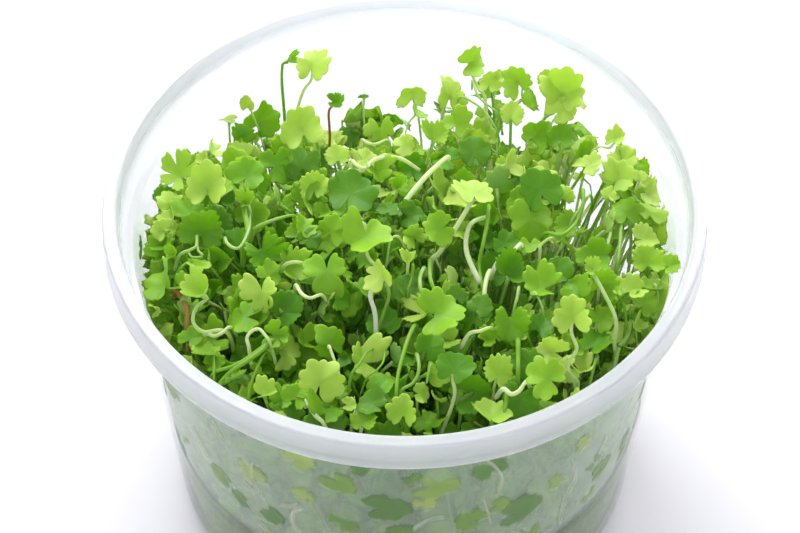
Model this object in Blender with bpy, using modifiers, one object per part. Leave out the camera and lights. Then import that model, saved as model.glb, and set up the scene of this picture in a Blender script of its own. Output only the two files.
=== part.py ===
"""Japanese pennywort in a culture cup.

A moulded cup holds a slab of nutrient gel. A dense mat of small plantlets grows on
the gel, and the leaves that stand out of it are separate pieces on their own stalks.
Places and sizes are in millimetres: x to the right, y away from the viewer, z up from
the middle of the cup's base.
"""

import math
from collections import namedtuple

import bmesh
import bpy
from mathutils import Matrix, Vector

MM = 0.001
OBJECT_NAME = "japanese_pennywort"
SEGMENTS = 48  # facets round every turned piece
CLEARANCE = 0.3  # between pieces that touch
MERGE_DISTANCE = 0.05

# Cup
CUP_HEIGHT = 70.0
RIM_RADIUS = 50.0  # outside of the bead, the widest place
BEAD_DEPTH = 0.25  # how far the bead stands out of the skirt
BEAD_TOP = 3.7  # below the rim's top
SKIRT_HEIGHT = 5.5
SKIRT_THICKNESS = 0.9
RIM_THICKNESS = 1.0
RIM_EDGE = 0.5  # rounding of the rim's two top edges
LIP_RADIUS = 47.3  # inner edge of the rim's top
STEP_TOP_RADIUS = 46.4
STEP_RADIUS = 45.2
STEP_TOP = 6.9  # below the rim's top
STEP_BOTTOM = 7.9
WALL = 0.9
WALL_LEAN = 4.35  # degrees
WALL_TAPER = math.tan(math.radians(WALL_LEAN))
FLOOR = 1.2
CORNER_RADIUS = 4.0  # outside, between wall and base

# Gel
GEL_TOP = CUP_HEIGHT - 49.5
MENISCUS_RISE = 0.7
MENISCUS_WIDTH = 1.6

# Plant mat
MAT_SIDE_GAP = 0.5
MAT_SIDE_ROUND = 3.0  # rounding of its lower edge
MAT_RINGS = 12
MAT_LEVEL = CUP_HEIGHT - 7.0  # its top at the middle and the front
MAT_SLOPE_START = 5.0  # y where the top starts to fall towards the back
MAT_SLOPE_LENGTH = 30.0
MAT_FALL_LEFT = 10.0
MAT_FALL_RIGHT = 4.0
MAT_EDGE_RADIUS = 36.0  # the top rounds off outside this radius
MAT_EDGE_FALL = 2.5
LUMP_HEIGHT = 0.6  # uneven tops of the plantlets
LUMP_SPACING = 11.0

# Hollows in the mat's top: x, y, depth, spread
HOLLOWS = [
    (4.5, -5.5, 4.0, 3.5),
    (12.5, -10.5, 3.5, 3.5),
    (-5.5, -20.5, 6.5, 4.5),
    (6.0, -35.5, 6.5, 4.0),
    (28.0, -29.5, 5.5, 4.0),
    (34.5, -22.5, 6.5, 4.0),
    (-29.0, -21.5, 3.5, 4.0),
    (-5.0, 30.0, 3.0, 6.0),
    (33.0, 0.0, 3.0, 5.0),
]

# Leaves
LEAF_POINTS = 24  # round a leaf's outline
LEAF_THICKNESS = 0.4
LOBE_ANGLE = math.radians(112)  # from the middle lobe to each side lobe
LOBE_HALF_WIDTH = math.radians(58)
LOBE_ROOT = 0.45  # depth that the notches between lobes reach, as a share of the radius
SINUS_ROOT = 0.2  # the same for the notch over the stalk
CUPPING = 0.16  # rise of a leaf's edge, as a share of its radius

# Stalks
STALK_BEVEL = 2  # bevel resolution, for eight sides
STALK_STEP = 2.2  # spacing of a stalk's points
NECK = 1.0  # the stalk's last stretch, straight up to the leaf
FOOT_LENGTH = 0.5  # least length of its first stretch
FACET_ROOM = 0.1  # more room under a stalk's foot, over the mat's facets

LIME = (0.46, 0.66, 0.09)
BRIGHT = (0.33, 0.54, 0.045)
MID = (0.16, 0.36, 0.02)
DEEP = (0.075, 0.22, 0.03)
PALE_STALK = (0.62, 0.76, 0.36)
GREEN_STALK = (0.36, 0.56, 0.12)
PINK_STALK = (0.70, 0.42, 0.34)

# A leaf on its stalk. The stalk's places run from its foot to the leaf. The leaf leans
# lean degrees towards the heading, and its middle lobe points along spin; both are
# measured from +x towards +y.
Sprig = namedtuple("Sprig", "stalk thickness width lean heading spin leaf_colour stalk_colour")
SPRIGS = [
    Sprig([(-19.5, 33.5, 51), (-18, 33, 60.5), (-16.3, 32, 65), (-16, 31.5, 69)],
          0.7, 6.8, 30, -90, 80, LIME, PALE_STALK),
    Sprig([(-21.4, 33, 51), (-21.5, 33, 63), (-21.3, 33.2, 67), (-20.3, 33.6, 68)],
          0.7, 2.4, 55, 0, 0, BRIGHT, GREEN_STALK),
    Sprig([(-13.3, 30, 52), (-13.3, 30, 59), (-12.2, 30, 61.5)], 0.6, 3.6, 20, -90, 0, MID, PINK_STALK),
    Sprig([(-35, 12, 58), (-37, 11, 61), (-38, 10.2, 64.4)], 0.7, 7.4, 20, -90, 160, BRIGHT, GREEN_STALK),
    Sprig([(-30, 5, 60), (-32, 5, 63), (-33, 5.8, 66.2)], 0.8, 7.8, 35, -90, 90, LIME, GREEN_STALK),
    Sprig([(-15, 22, 58), (-17, 21, 61), (-17.5, 20.5, 65)], 0.8, 8.0, 30, -90, 100, LIME, GREEN_STALK),
    Sprig([(-24, 7, 60), (-25.5, 7.5, 63), (-26.3, 8.5, 66.5)], 0.7, 6.4, 20, -90, 60, MID, GREEN_STALK),
    Sprig([(-28.5, -20.5, 60), (-32.5, -22.1, 63), (-34, -21.5, 65), (-33.4, -19.7, 66.4),
           (-32.3, -18.3, 67.6)], 0.8, 5.4, 25, 180, 60, LIME, PALE_STALK),
    Sprig([(-10, -34, 60), (-12.5, -34.5, 63), (-13.3, -34.6, 66.5)],
          0.8, 7.6, 30, -90, 30, LIME, GREEN_STALK),
    Sprig([(-12, 2, 60), (-10, 3, 63.5), (-9.2, 4, 67)], 0.8, 8.6, 20, -90, 75, DEEP, GREEN_STALK),
    Sprig([(-4, -8, 60), (-6, -7, 63.5), (-6.5, -6.2, 67.6)], 0.8, 8.8, 8, -90, 90, BRIGHT, PALE_STALK),
    Sprig([(2, -2, 60), (4.5, -3, 63.5), (5.5, -3.9, 67)], 0.7, 5.8, 30, -90, 200, BRIGHT, GREEN_STALK),
    Sprig([(4.3, -5, 58), (5.8, -4.8, 62.3), (8.7, -1.7, 65.4), (11, 1.5, 67.6), (11.5, 2.2, 68.9)],
          1.1, 7.6, 6, 90, 90, LIME, PALE_STALK),
    Sprig([(-4.7, -20.4, 56), (-4.8, -18, 62), (-5.6, -15.8, 64.5), (-4.6, -14.8, 66.2), (-3.5, -14.4, 67.6)],
          1.0, 5.0, 35, -90, 100, LIME, PALE_STALK),
    Sprig([(8, -19, 60), (6.5, -20.5, 63.5), (5.6, -22, 67.5)], 0.8, 9.2, 15, -90, 20, BRIGHT, GREEN_STALK),
    Sprig([(19, 6, 60), (21.5, 5.5, 63.5), (22.5, 5, 66.8)], 0.8, 7.8, 25, -90, 110, DEEP, GREEN_STALK),
    Sprig([(5.8, -35.8, 54), (7.8, -33.4, 60.5), (7.6, -32.3, 63.6), (7.7, -31.5, 65.4)],
          0.8, 6.2, 20, -90, 70, MID, PALE_STALK),
    Sprig([(27.5, -29, 55), (26, -27.7, 61), (27.4, -26.4, 64), (26.5, -24.8, 66.3), (26.7, -23.6, 68.5)],
          0.8, 6.8, 35, -90, 90, LIME, PALE_STALK),
    Sprig([(20, -32.5, 60), (21.5, -33.5, 63), (22.3, -34, 66.3)],
          0.8, 7.2, 30, -90, 150, BRIGHT, GREEN_STALK),
    Sprig([(34.3, -22.5, 55), (34, -21.6, 59.5), (34, -20, 63.7), (32, -16.3, 66.2), (30.3, -13, 68)],
          0.9, 3.2, 20, -90, 120, LIME, PALE_STALK),
    Sprig([(40, -13, 58), (41.5, -12.6, 63), (43, -12, 67.4)], 0.6, 3.6, 25, -90, 20, BRIGHT, GREEN_STALK),
    Sprig([(24, 27, 58), (26.3, 26.6, 63), (27, 26.2, 67.8)], 0.8, 8.4, 35, -90, 75, LIME, GREEN_STALK),
    Sprig([(14.5, 33, 57), (13, 32.8, 62), (11.8, 32.4, 66), (11.5, 32.3, 69)],
          0.7, 5.6, 40, -60, 30, BRIGHT, PALE_STALK),
    Sprig([(31.5, 18.5, 58), (33, 17.2, 63.8), (35, 16.4, 64.6), (36, 17, 66.4)],
          0.6, 4.0, 25, -90, 60, LIME, PALE_STALK),
    Sprig([(34, 9, 58), (35.2, 8, 63), (36, 7.5, 66.8)], 0.7, 6.2, 25, -90, 40, LIME, GREEN_STALK),
    Sprig([(17.5, 31, 57), (19, 30, 62), (19.6, 29.4, 67.2)], 0.7, 5.8, 40, -90, 110, BRIGHT, GREEN_STALK),
]

# Bare runners over the mat: places, thickness
RUNNERS = [
    ([(-1, 2.2, 63.5), (-0.2, 3.6, 64.8), (3.4, 9, 65.3), (7, 14.2, 64.4), (7.6, 15.2, 63)], 1.0),
    ([(-9.6, 13.6, 62), (-7.2, 12, 63.8), (-4.8, 14.2, 64.2), (-1, 14.6, 64), (2.6, 13.6, 62)], 0.8),
    ([(12.4, -11, 61.5), (10.2, -5.3, 63.2), (10.9, -1, 64.8), (14, 2.4, 63)], 0.9),
]

CUP_COLOUR = (0.80, 0.85, 0.87)
GEL_COLOUR = (0.62, 0.70, 0.48)
MAT_COLOUR = (0.12, 0.27, 0.02)


def clear_scene():
    for found in list(bpy.data.objects):
        bpy.data.objects.remove(found, do_unlink=True)


def make_collection():
    collection = bpy.data.collections.new(OBJECT_NAME)
    bpy.context.scene.collection.children.link(collection)
    return collection


def surface(name, colour, roughness, alpha=1.0):
    material = bpy.data.materials.new(name)
    material.use_nodes = True
    shader = material.node_tree.nodes["Principled BSDF"]
    shader.inputs["Base Color"].default_value = (*colour, 1.0)
    shader.inputs["Roughness"].default_value = roughness
    shader.inputs["Metallic"].default_value = 0.0
    shader.inputs["Alpha"].default_value = alpha
    return material


def add_object(name, data, collection, material):
    data.materials.append(material)
    made = bpy.data.objects.new(name, data)
    collection.objects.link(made)
    return made


def arc(centre_r, centre_z, radius, start, end, steps):
    """Points of a profile's rounding, from one angle to another, in degrees from +r to +z."""
    points = []
    for step in range(steps + 1):
        angle = math.radians(start + (end - start) * step / steps)
        points.append((centre_r + radius * math.cos(angle), centre_z + radius * math.sin(angle)))
    return points


def turned(name, profile, collection, material):
    """A profile of (radius, height) points, screwed once round the z axis."""
    mesh = bpy.data.meshes.new(name)
    points = [(r * MM, 0.0, z * MM) for r, z in profile]
    edges = [(i, i + 1) for i in range(len(points) - 1)]
    mesh.from_pydata(points, edges, [])
    made = add_object(name, mesh, collection, material)
    screw = made.modifiers.new("Turn", "SCREW")
    screw.axis = "Z"
    screw.angle = 2 * math.pi
    screw.steps = SEGMENTS
    screw.render_steps = SEGMENTS
    screw.use_merge_vertices = True
    screw.merge_threshold = MERGE_DISTANCE * MM
    screw.use_smooth_shade = True
    return made


def wall_radius(z):
    """Inner radius of the tapered wall at a height."""
    return STEP_RADIUS - (CUP_HEIGHT - STEP_BOTTOM - z) * WALL_TAPER


def cup_profile():
    top = CUP_HEIGHT
    inner_corner = CORNER_RADIUS - WALL
    corner_r = wall_radius(FLOOR + inner_corner) - inner_corner
    points = [(0.0, FLOOR)]
    points += arc(corner_r, FLOOR + inner_corner, inner_corner, -90, -WALL_LEAN, 4)
    points += [(STEP_RADIUS, top - STEP_BOTTOM)]
    points += [(STEP_TOP_RADIUS, top - STEP_TOP)]
    points += arc(LIP_RADIUS + RIM_EDGE, top - RIM_EDGE, RIM_EDGE, 180, 90, 3)
    skirt_r = RIM_RADIUS - BEAD_DEPTH
    points += arc(skirt_r - RIM_EDGE, top - RIM_EDGE, RIM_EDGE, 90, 0, 3)
    points += [(skirt_r, top - BEAD_TOP)]
    points += [(RIM_RADIUS, top - BEAD_TOP - BEAD_DEPTH)]
    points += [(RIM_RADIUS, top - SKIRT_HEIGHT)]
    inside_skirt = skirt_r - SKIRT_THICKNESS
    points += [(inside_skirt, top - SKIRT_HEIGHT)]
    points += [(inside_skirt, top - RIM_THICKNESS)]
    points += [(LIP_RADIUS + WALL, top - RIM_THICKNESS)]
    points += [(STEP_TOP_RADIUS + WALL, top - STEP_TOP)]
    points += [(STEP_RADIUS + WALL, top - STEP_BOTTOM - WALL)]
    outer_corner_r = wall_radius(CORNER_RADIUS) + WALL - CORNER_RADIUS
    points += arc(outer_corner_r, CORNER_RADIUS, CORNER_RADIUS, -WALL_LEAN, -90, 5)
    points += [(0.0, 0.0)]
    return points


def make_cup(collection):
    material = surface("cup_plastic", CUP_COLOUR, roughness=0.35, alpha=0.4)
    return turned("cup", cup_profile(), collection, material)


def gel_profile():
    bottom = FLOOR + CLEARANCE
    corner = CORNER_RADIUS - WALL
    corner_r = wall_radius(bottom + corner) - CLEARANCE - corner
    rim_z = GEL_TOP + MENISCUS_RISE
    points = [(0.0, GEL_TOP)]
    for share in (1.0, 0.4, 0.0):
        z = GEL_TOP + MENISCUS_RISE * (1 - share) ** 2
        points.append((wall_radius(rim_z) - CLEARANCE - share * MENISCUS_WIDTH, z))
    points += arc(corner_r, bottom + corner, corner, -WALL_LEAN, -90, 4)
    points += [(0.0, bottom)]
    return points


def make_gel(collection):
    material = surface("nutrient_gel", GEL_COLOUR, roughness=0.15, alpha=0.6)
    return turned("nutrient_gel", gel_profile(), collection, material)


def smoothstep(low, high, value):
    share = min(max((value - low) / (high - low), 0.0), 1.0)
    return share * share * (3 - 2 * share)


def mat_top(x, y):
    """Height of the mat's top: level in front, falling to the back and at the wall, with hollows."""
    back = max(y - MAT_SLOPE_START, 0.0) / MAT_SLOPE_LENGTH
    right = smoothstep(0.0, 18.0, x)
    fall = MAT_FALL_LEFT + (MAT_FALL_RIGHT - MAT_FALL_LEFT) * right
    z = MAT_LEVEL - fall * back**1.5
    z -= MAT_EDGE_FALL * smoothstep(MAT_EDGE_RADIUS, STEP_RADIUS, math.hypot(x, y))
    turn = 2 * math.pi / LUMP_SPACING
    z += LUMP_HEIGHT * math.sin(turn * (x + 0.4 * y)) * math.cos(turn * (y - 0.3 * x))
    for hollow_x, hollow_y, depth, spread in HOLLOWS:
        away = math.hypot(x - hollow_x, y - hollow_y) / spread
        z -= depth * math.exp(-away * away)
    return z


def make_mat(collection):
    """The form of the small plantlets: a turned body whose top is shaped by mat_top."""
    bottom = GEL_TOP + MENISCUS_RISE + CLEARANCE
    rim = STEP_RADIUS - MAT_SIDE_GAP
    profile = [(rim * ring / MAT_RINGS, CUP_HEIGHT) for ring in range(MAT_RINGS + 1)]
    profile += [(wall_radius(bottom + MAT_SIDE_ROUND) - MAT_SIDE_GAP, bottom + MAT_SIDE_ROUND)]
    profile += [(wall_radius(bottom) - MAT_SIDE_GAP - MAT_SIDE_ROUND / 2, bottom)]
    profile += [(0.0, bottom)]
    material = surface("mat_foliage", MAT_COLOUR, roughness=0.6)
    blank = turned("mat_blank", profile, collection, material)
    bpy.context.view_layer.update()
    depsgraph = bpy.context.evaluated_depsgraph_get()
    mesh = bpy.data.meshes.new_from_object(blank.evaluated_get(depsgraph))
    for vertex in mesh.vertices:
        x, y, z = vertex.co / MM
        if math.isclose(z, CUP_HEIGHT, abs_tol=MERGE_DISTANCE):
            spread = rim / max(math.hypot(x, y), MERGE_DISTANCE)
            edge_z = mat_top(x * spread, y * spread)
            inward = (wall_radius(edge_z) - MAT_SIDE_GAP) / rim
            vertex.co = Vector((x * inward, y * inward, mat_top(x, y))) * MM
    mesh.name = "plant_mat"
    made = bpy.data.objects.new("plant_mat", mesh)
    collection.objects.link(made)
    bpy.data.objects.remove(blank, do_unlink=True)
    return made


def height_over(mat, x, y):
    """Height of the mat's faceted top under a place."""
    hit, place, _, _ = mat.ray_cast(Vector((x, y, CUP_HEIGHT * 2)) * MM, Vector((0, 0, -1)))
    return place.z / MM if hit else 0.0


def lobe_radius(angle):
    """A leaf's outline as a share of its radius; angle 0 is the middle lobe, pi the sinus."""
    away = min(abs(angle), abs(abs(angle) - LOBE_ANGLE))
    share = max(1.0 - (away / LOBE_HALF_WIDTH) ** 2, 0.0) ** 0.5
    root = SINUS_ROOT if abs(angle) > LOBE_ANGLE + LOBE_HALF_WIDTH * 0.5 else LOBE_ROOT
    return root + (1.0 - root) * share


def leaf_pose(sprig):
    """The leaf's own axes at the top of its stalk."""
    heading = math.radians(sprig.heading)
    lean = Matrix.Rotation(math.radians(sprig.lean), 4, Vector((-math.sin(heading), math.cos(heading), 0)))
    spin = Matrix.Rotation(math.radians(sprig.spin), 4, "Z")
    return Matrix.Translation(Vector(sprig.stalk[-1]) * MM) @ lean @ spin


def make_leaf(name, sprig, collection):
    """A fan whose edge follows the lobes, cupped a little, with Solidify for its thickness."""
    mesh = bpy.data.meshes.new(name)
    shape = bmesh.new()
    bmesh.ops.create_circle(shape, cap_ends=True, cap_tris=True, segments=LEAF_POINTS, radius=1.0)
    radius = sprig.width / 2 * MM
    for vertex in shape.verts:
        if vertex.co.length > 0.5:
            angle = math.atan2(vertex.co.y, vertex.co.x)
            reach = lobe_radius(angle) * radius
            rise = CUPPING * reach * reach / radius
            vertex.co = Vector((math.cos(angle) * reach, math.sin(angle) * reach, rise))
    shape.to_mesh(mesh)
    shape.free()
    material = surface(name + "_blade", sprig.leaf_colour, roughness=0.45)
    made = add_object(name, mesh, collection, material)
    made.matrix_world = leaf_pose(sprig)
    solid = made.modifiers.new("Thickness", "SOLIDIFY")
    solid.thickness = LEAF_THICKNESS * MM
    solid.offset = 0.0
    return made


def smooth_path(places, step):
    """Points about step apart on a smooth curve through the places."""
    ends = [2 * places[0] - places[1]] + places + [2 * places[-1] - places[-2]]
    points = []
    for before, start, end, after in zip(ends, ends[1:], ends[2:], ends[3:]):
        pieces = max(round((end - start).length / step), 1)
        for piece in range(pieces):
            t = piece / pieces
            spot = 2 * start + (end - before) * t
            spot += (2 * before - 5 * start + 4 * end - after) * t * t
            spot += (3 * start - before - 3 * end + after) * t**3
            points.append(spot / 2)
    return points + [places[-1]]


def make_tube(name, points, thickness, colour, collection):
    curve = bpy.data.curves.new(name, "CURVE")
    curve.dimensions = "3D"
    curve.bevel_depth = thickness / 2 * MM
    curve.bevel_resolution = STALK_BEVEL
    curve.use_fill_caps = True
    spline = curve.splines.new("POLY")
    spline.points.add(len(points) - 1)
    for point, place in zip(spline.points, points):
        point.co = (*(place * MM), 1.0)
    return add_object(name, curve, collection, surface(name + "_skin", colour, roughness=0.4))


def make_stalk(name, sprig, mat, collection):
    """A stalk from the mat's top to just under its leaf, square to the blade at its end."""
    places = [Vector(place) for place in sprig.stalk]
    up = leaf_pose(sprig).to_3x3() @ Vector((0, 0, 1))
    end = places[-1] - up * (LEAF_THICKNESS / 2 + CLEARANCE)
    path = smooth_path(places[:-1] + [end - up * NECK], STALK_STEP)
    clear = sprig.thickness / 2 + CLEARANCE + FACET_ROOM
    above = [spot for spot in path if spot.z > height_over(mat, spot.x, spot.y) + clear + FOOT_LENGTH]
    foot = path[-len(above) - 1].copy()
    foot.z = height_over(mat, foot.x, foot.y) + clear
    return make_tube(name, [foot] + above + [end], sprig.thickness, sprig.stalk_colour, collection)


def make_runner(name, places, thickness, mat, collection):
    """A runner whose two ends come down on the mat."""
    points = smooth_path([Vector(place) for place in places], STALK_STEP)
    for end in (points[0], points[-1]):
        end.z = height_over(mat, end.x, end.y) + thickness / 2 + CLEARANCE + FACET_ROOM
    return make_tube(name, points, thickness, PALE_STALK, collection)


def main():
    clear_scene()
    collection = make_collection()
    make_cup(collection)
    make_gel(collection)
    mat = make_mat(collection)
    bpy.context.view_layer.update()
    for number, sprig in enumerate(SPRIGS, 1):
        make_leaf(f"leaf_{number:02d}", sprig, collection)
        make_stalk(f"stem_{number:02d}", sprig, mat, collection)
    for number, (places, thickness) in enumerate(RUNNERS, 1):
        make_runner(f"runner_{number:02d}", places, thickness, mat, collection)


main()
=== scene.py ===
"""Looks of the pennywort culture cup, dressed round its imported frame.

Places and sizes are in millimetres and angles in degrees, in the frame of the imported
model: x to the right, y away from the viewer, z up from the middle of the cup's base.
"""

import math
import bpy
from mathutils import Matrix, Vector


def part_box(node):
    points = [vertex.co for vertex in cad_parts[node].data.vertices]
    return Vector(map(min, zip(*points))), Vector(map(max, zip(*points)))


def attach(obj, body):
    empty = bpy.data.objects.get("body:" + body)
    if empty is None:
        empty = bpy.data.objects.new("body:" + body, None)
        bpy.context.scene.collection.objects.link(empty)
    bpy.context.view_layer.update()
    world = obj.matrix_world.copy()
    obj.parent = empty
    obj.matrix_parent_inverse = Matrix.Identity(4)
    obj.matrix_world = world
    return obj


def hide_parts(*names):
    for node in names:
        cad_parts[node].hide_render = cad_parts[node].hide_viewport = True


bl_info = {
    "name": "Pennywort Culture Cup",
    "version": (1, 0, 0),
    "blender": (4, 5, 0),
    "location": "View3D > Sidebar > Pennywort",
    "description": "Dresses the packed culture cup with moulded plastic, gel and small lobed leaves",
    "category": "Object",
}

from collections import namedtuple

import bpy
import numpy as np
from bpy.props import FloatProperty, FloatVectorProperty, IntProperty, PointerProperty
from mathutils import Vector
from mathutils.bvhtree import BVHTree

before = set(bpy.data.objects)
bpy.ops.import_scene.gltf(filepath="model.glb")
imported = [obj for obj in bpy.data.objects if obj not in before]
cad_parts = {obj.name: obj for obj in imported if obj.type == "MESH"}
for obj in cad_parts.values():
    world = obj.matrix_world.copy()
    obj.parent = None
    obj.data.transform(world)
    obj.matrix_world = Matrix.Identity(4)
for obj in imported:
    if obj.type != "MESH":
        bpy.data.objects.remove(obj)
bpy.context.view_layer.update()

MM = 0.001
TAU = 2 * math.pi
PHOTO_WIDTH, PHOTO_HEIGHT = 800, 533
SENSOR_WIDTH = 36.0
BODY = "root"
BAKE_MAP = "OFBake"  # the UV map laid out for baking the blades' and stalks' materials

# Sizes that the frame gives
CUP_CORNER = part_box("cup")[1]
RIM_RADIUS = CUP_CORNER.x / MM
CUP_HEIGHT = CUP_CORNER.z / MM
GEL_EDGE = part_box("nutrient_gel")[1].z / MM  # where the gel climbs the wall

# Profile of the cup
BEAD_DEPTH = 0.25
BEAD_TOP = 3.7
SKIRT_HEIGHT = 5.5
SKIRT_THICKNESS = 0.9
RIM_THICKNESS = 1.0
RIM_EDGE = 0.5
LIP_RADIUS = 47.3
STEP_TOP_RADIUS = 46.4
STEP_RADIUS = 45.2
STEP_TOP = 6.9
STEP_BOTTOM = 7.9
WALL = 0.9
WALL_LEAN = 4.35
WALL_TAPER = math.tan(math.radians(WALL_LEAN))
FLOOR = 1.2
CORNER_RADIUS = 4.0
EASE = 0.1  # how far a small edge of the profile is eased
ROLL = 0.2  # rounding of the skirt's lower edge
SHARP_ANGLE = math.radians(50)  # edges of the cup and the gel that bend more are shown sharp
CUP_SEGMENTS = 256
RIM_START = STEP_TOP_RADIUS + 0.2  # radius from which the plastic has the rim's finish
FOG_LOW, FOG_TOP = GEL_EDGE + 1, 62.0  # heights between which the inside of the wall is fogged
FOG_FRONT, FOG_BACK = -22.0, 14.0  # y between which the fog thins out to nothing
FOG_AT_FRONT = 0.45  # thickness of the fog at the middle of the front
PAINTED_SHEEN_AT_SIDES = 0.5  # painted sheen: how much thicker the fog is made out at the sides, where the wall is seen at a slant from the front
WALL_LEVELS = (  # heights of the rings on the wall's inside, close together where gel and fog end
    8, 14, GEL_EDGE, GEL_EDGE + 0.9, GEL_EDGE + 1.6, 30, 38, 46, 54, FOG_TOP - 0.5, FOG_TOP
)

# Gel
MENISCUS_RISE = 0.7
MENISCUS_WIDTH = 1.6
GEL_TOP = GEL_EDGE - MENISCUS_RISE
EDGE_BAND_TOP, EDGE_BAND_LOW = GEL_TOP - 0.4, GEL_TOP - 1.3  # between these the darker green band of the gel's edge fades
GEL_BITE = 0.05  # into the plastic, so that no air lies between the two
ROOT_SEED = 11
ROOT_POINTS = 9  # along a root
ROOT_SIDES = 5
ROOT_LENGTHS = (8, 15)
ROOT_DRIFT = 1.6  # sideways, from point to point
ROOT_GAP = 1.2  # how near a root comes to the wall
SUNKEN_COUNT = 320  # leaves and shoots in the gel

# Blades
BLADE_GAP = 0.24  # how near a blade comes to the wall
CONTACT_BITE = 0.08  # how far what touches the wall bites into it, so that no fog lies between them
LOBE_ANGLE = math.radians(112)  # from the middle lobe to the next one of a three-lobed blade
LOBE_HALF = math.radians(58)
VEIN_ANGLE = LOBE_ANGLE / 4
VEIN_WIDTH = 0.035  # as a share of the blade's radius
VEIN_COLOUR = "#D3EE8A"
GLOW_COLOUR = "#CDEB48"  # of light that has passed through a blade
SCALLOPS = 3  # to a lobe
USUAL_WIDTH = 7.0  # of a blade whose thickness and stalk are the usual ones
PAIR_SPACING = 0.56  # from lobe to lobe, as a share, where two pairs stand beside the middle one
PAIR_BREADTH = 0.6  # breadth of the lobes there, as a share
LOPSIDED = ((1, 0.1), (2, 0.07), (3, 0.05), (5, 0.03))  # waves round an outline, share of its reach
SHAPE_SPREAD = (0.07, 0.03, 0.08, 0.08, 0.02)  # how much cup, funnel, fold, droop and wave vary
NOTCH_SPREAD = 0.07
TWIST_SPREAD = 0.22
YOUNGEST = 0.02
AGE_SPREAD = 0.17
WAXY_SHARE = 0.07  # of the blades that chance gives an age
WAXY_AGE = 0.95
OLDEST = 0.9  # age over which a listed blade is waxy, and gets none of the painted light
LIGHT_AT_BACK, LIGHT_AT_RIGHT = 0.3, 0.25  # painted light: what is taken from a blade's age there, to paint it paler where the light is strongest
STAR_SHARE = 0.45  # of the open blades that are seen

# Rings of a blade's mesh, as shares of its radius
STANDING_RINGS = (0.25, 0.5, 0.75, 0.9, 0.975, 1.0)
FINE_RINGS = (0.35, 0.7, 0.93, 1.0)
PLAIN_RINGS = (0.45, 0.85, 1.0)
COARSE_RINGS = (0.6, 1.0)

# Stalks
FOOT_SHARE = 0.86  # how far out a stalk's foot is, as a share of its top's
STRAY_STALKS = 0.12  # share of the stalks behind a gap that may cross it
BLADE_CLEARANCE = 0.4  # how far a blade's middle stays off a gap, as a share of its width
SLIM = 0.82  # thickness of a stalk near its end, as a share of that near its foot
FLARE = 1.35  # thickness of its very end, where it meets the leaf, as such a share
TIPS = (-0.4, 0.2)  # how far its foot and its end bulge, in radii
GREENER = 0.16  # how much its tone rises from foot to end
ASIDE = (0.36, 0.93, 0.05)  # direction that its rings are turned by; hardly any stalk follows it
STALK_GAP = 0.8  # how near a stalk comes to the wall
FOOT_SPREAD = 2.5
FOOT_INSET = 2.5  # from the wall
FOOT_DEPTH = 0.8  # in the gel
STALK_TONE, TONE_SPREAD = 0.38, 0.14
LIGHT_TONE = 0.6  # share of what the painted light takes from a blade's age that its stalk's tone loses, painting the stalk paler too
DODGE = 1.5  # how far a stalk bends out of a gap, as a share of the way
SEEN_POINTS = 26  # along a stalk that is set as it is seen
UNDER_POINTS = 9  # along a stalk in the mat
UNDER_SIDES = 5  # round it
UNDER_BLADE = 0.12  # from the end of a standing stalk to the middle of its blade
STRAIGHT_END = 0.9  # of a standing stalk, square to its blade
STANDING_STOUTNESS = 0.86  # of the thickness that SPRIGS gives
SEEN_STOUTNESS = 0.74  # of the thickness that SEEN_STALKS gives
SEEN_GREENER = 0.1  # added to the tone that SEEN_STALKS gives

# Mat of plantlets
MAT_RADIUS = 44.0
USUAL_SHARE = 0.7  # of the blades; the others are smaller than the least width
MAT_EDGE = 0.985  # where the mat's height is looked up, as a share of the leaf's distance out
HOLLOWS = [(-16, -21, 11, 5), (9, -26, 8, 4), (-24, 22, 8, 3)]  # in the mat: x, y, radius, depth
BACK_SAG = 4.6  # how much deeper the leaves lie at the back
SAG_START, SAG_END = 12, 38  # y between which they sink to that
BY_WALL = 0.93 * STEP_RADIUS  # radius at which the mat's height by the wall is looked up
WALL_TOP_DEPTH = 2.5  # of the highest leaves by the wall, under the mat's top there
HIGHEST_LIFT = 16.0  # of a leaf that is seen over the mat's far edge
REACH = 0.74  # how near blades count as neighbours, as a share of both radii
TURNED_ROOM = 0.55  # more room, in radii, between neighbours that are turned differently
MAT_ROOM, WALL_ROOM = 0.7, 0.28  # least room between neighbours in the mat and near the wall
SEEN_SIZE = 0.95  # of the width that SEEN_LEAVES gives
SEEN_LEAN = 0.8  # of the lean that it gives
LEAN_SPREAD, HEADING_SPREAD = 14, 20  # how much those leaves stray from it
SEEN_LIGHT = 0.7  # share of what the painted light takes from a blade's age that they lose
PRESSED_YOUNGER = 0.18  # taken from the age that WALL_SEEN gives

# Leaves strewn in the mat: name, depths under its top, tries, usual age, greatest number, points
# round a blade and its rings
LAYERS = [
    ("upper_leaves", (0.4, 2.6), 4000, 0.34, 180, 60, FINE_RINGS),
    ("middle_leaves", (2.4, 6), 4500, 0.42, 230, 42, PLAIN_RINGS),
    ("under_leaves", (5.5, 11), 4500, 0.52, 220, 30, PLAIN_RINGS),
    ("deep_leaves", (12, 26), 3500, 0.55, 190, 26, COARSE_RINGS),
]
# Leaves strewn near the wall: name, tries, greatest number, whether they are pressed against it,
# points round a blade and its rings
WALL_LAYERS = [
    ("pressed_leaves", 2000, 55, True, 40, PLAIN_RINGS),
    ("wall_leaves", 14000, 600, False, 30, COARSE_RINGS),
]

# Stage, in metres
TABLE_HALF = 2.0
TABLE_LEVEL = -0.02 * MM
CLIP_START = 0.01
SKY_COLOUR = "#FDFDFF"
LAMP_COLOUR = "#F8FAFF"
LAMP_TARGET = (0, 0, 0.06)
LAMPS = [  # name, the setting that holds its power, diameter, place
    ("key_lamp", "key", 0.45, (-0.2, 0.42, 0.56)),
    ("back_lamp", "back", 0.5, (0.26, 0.48, 0.2)),
]

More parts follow.
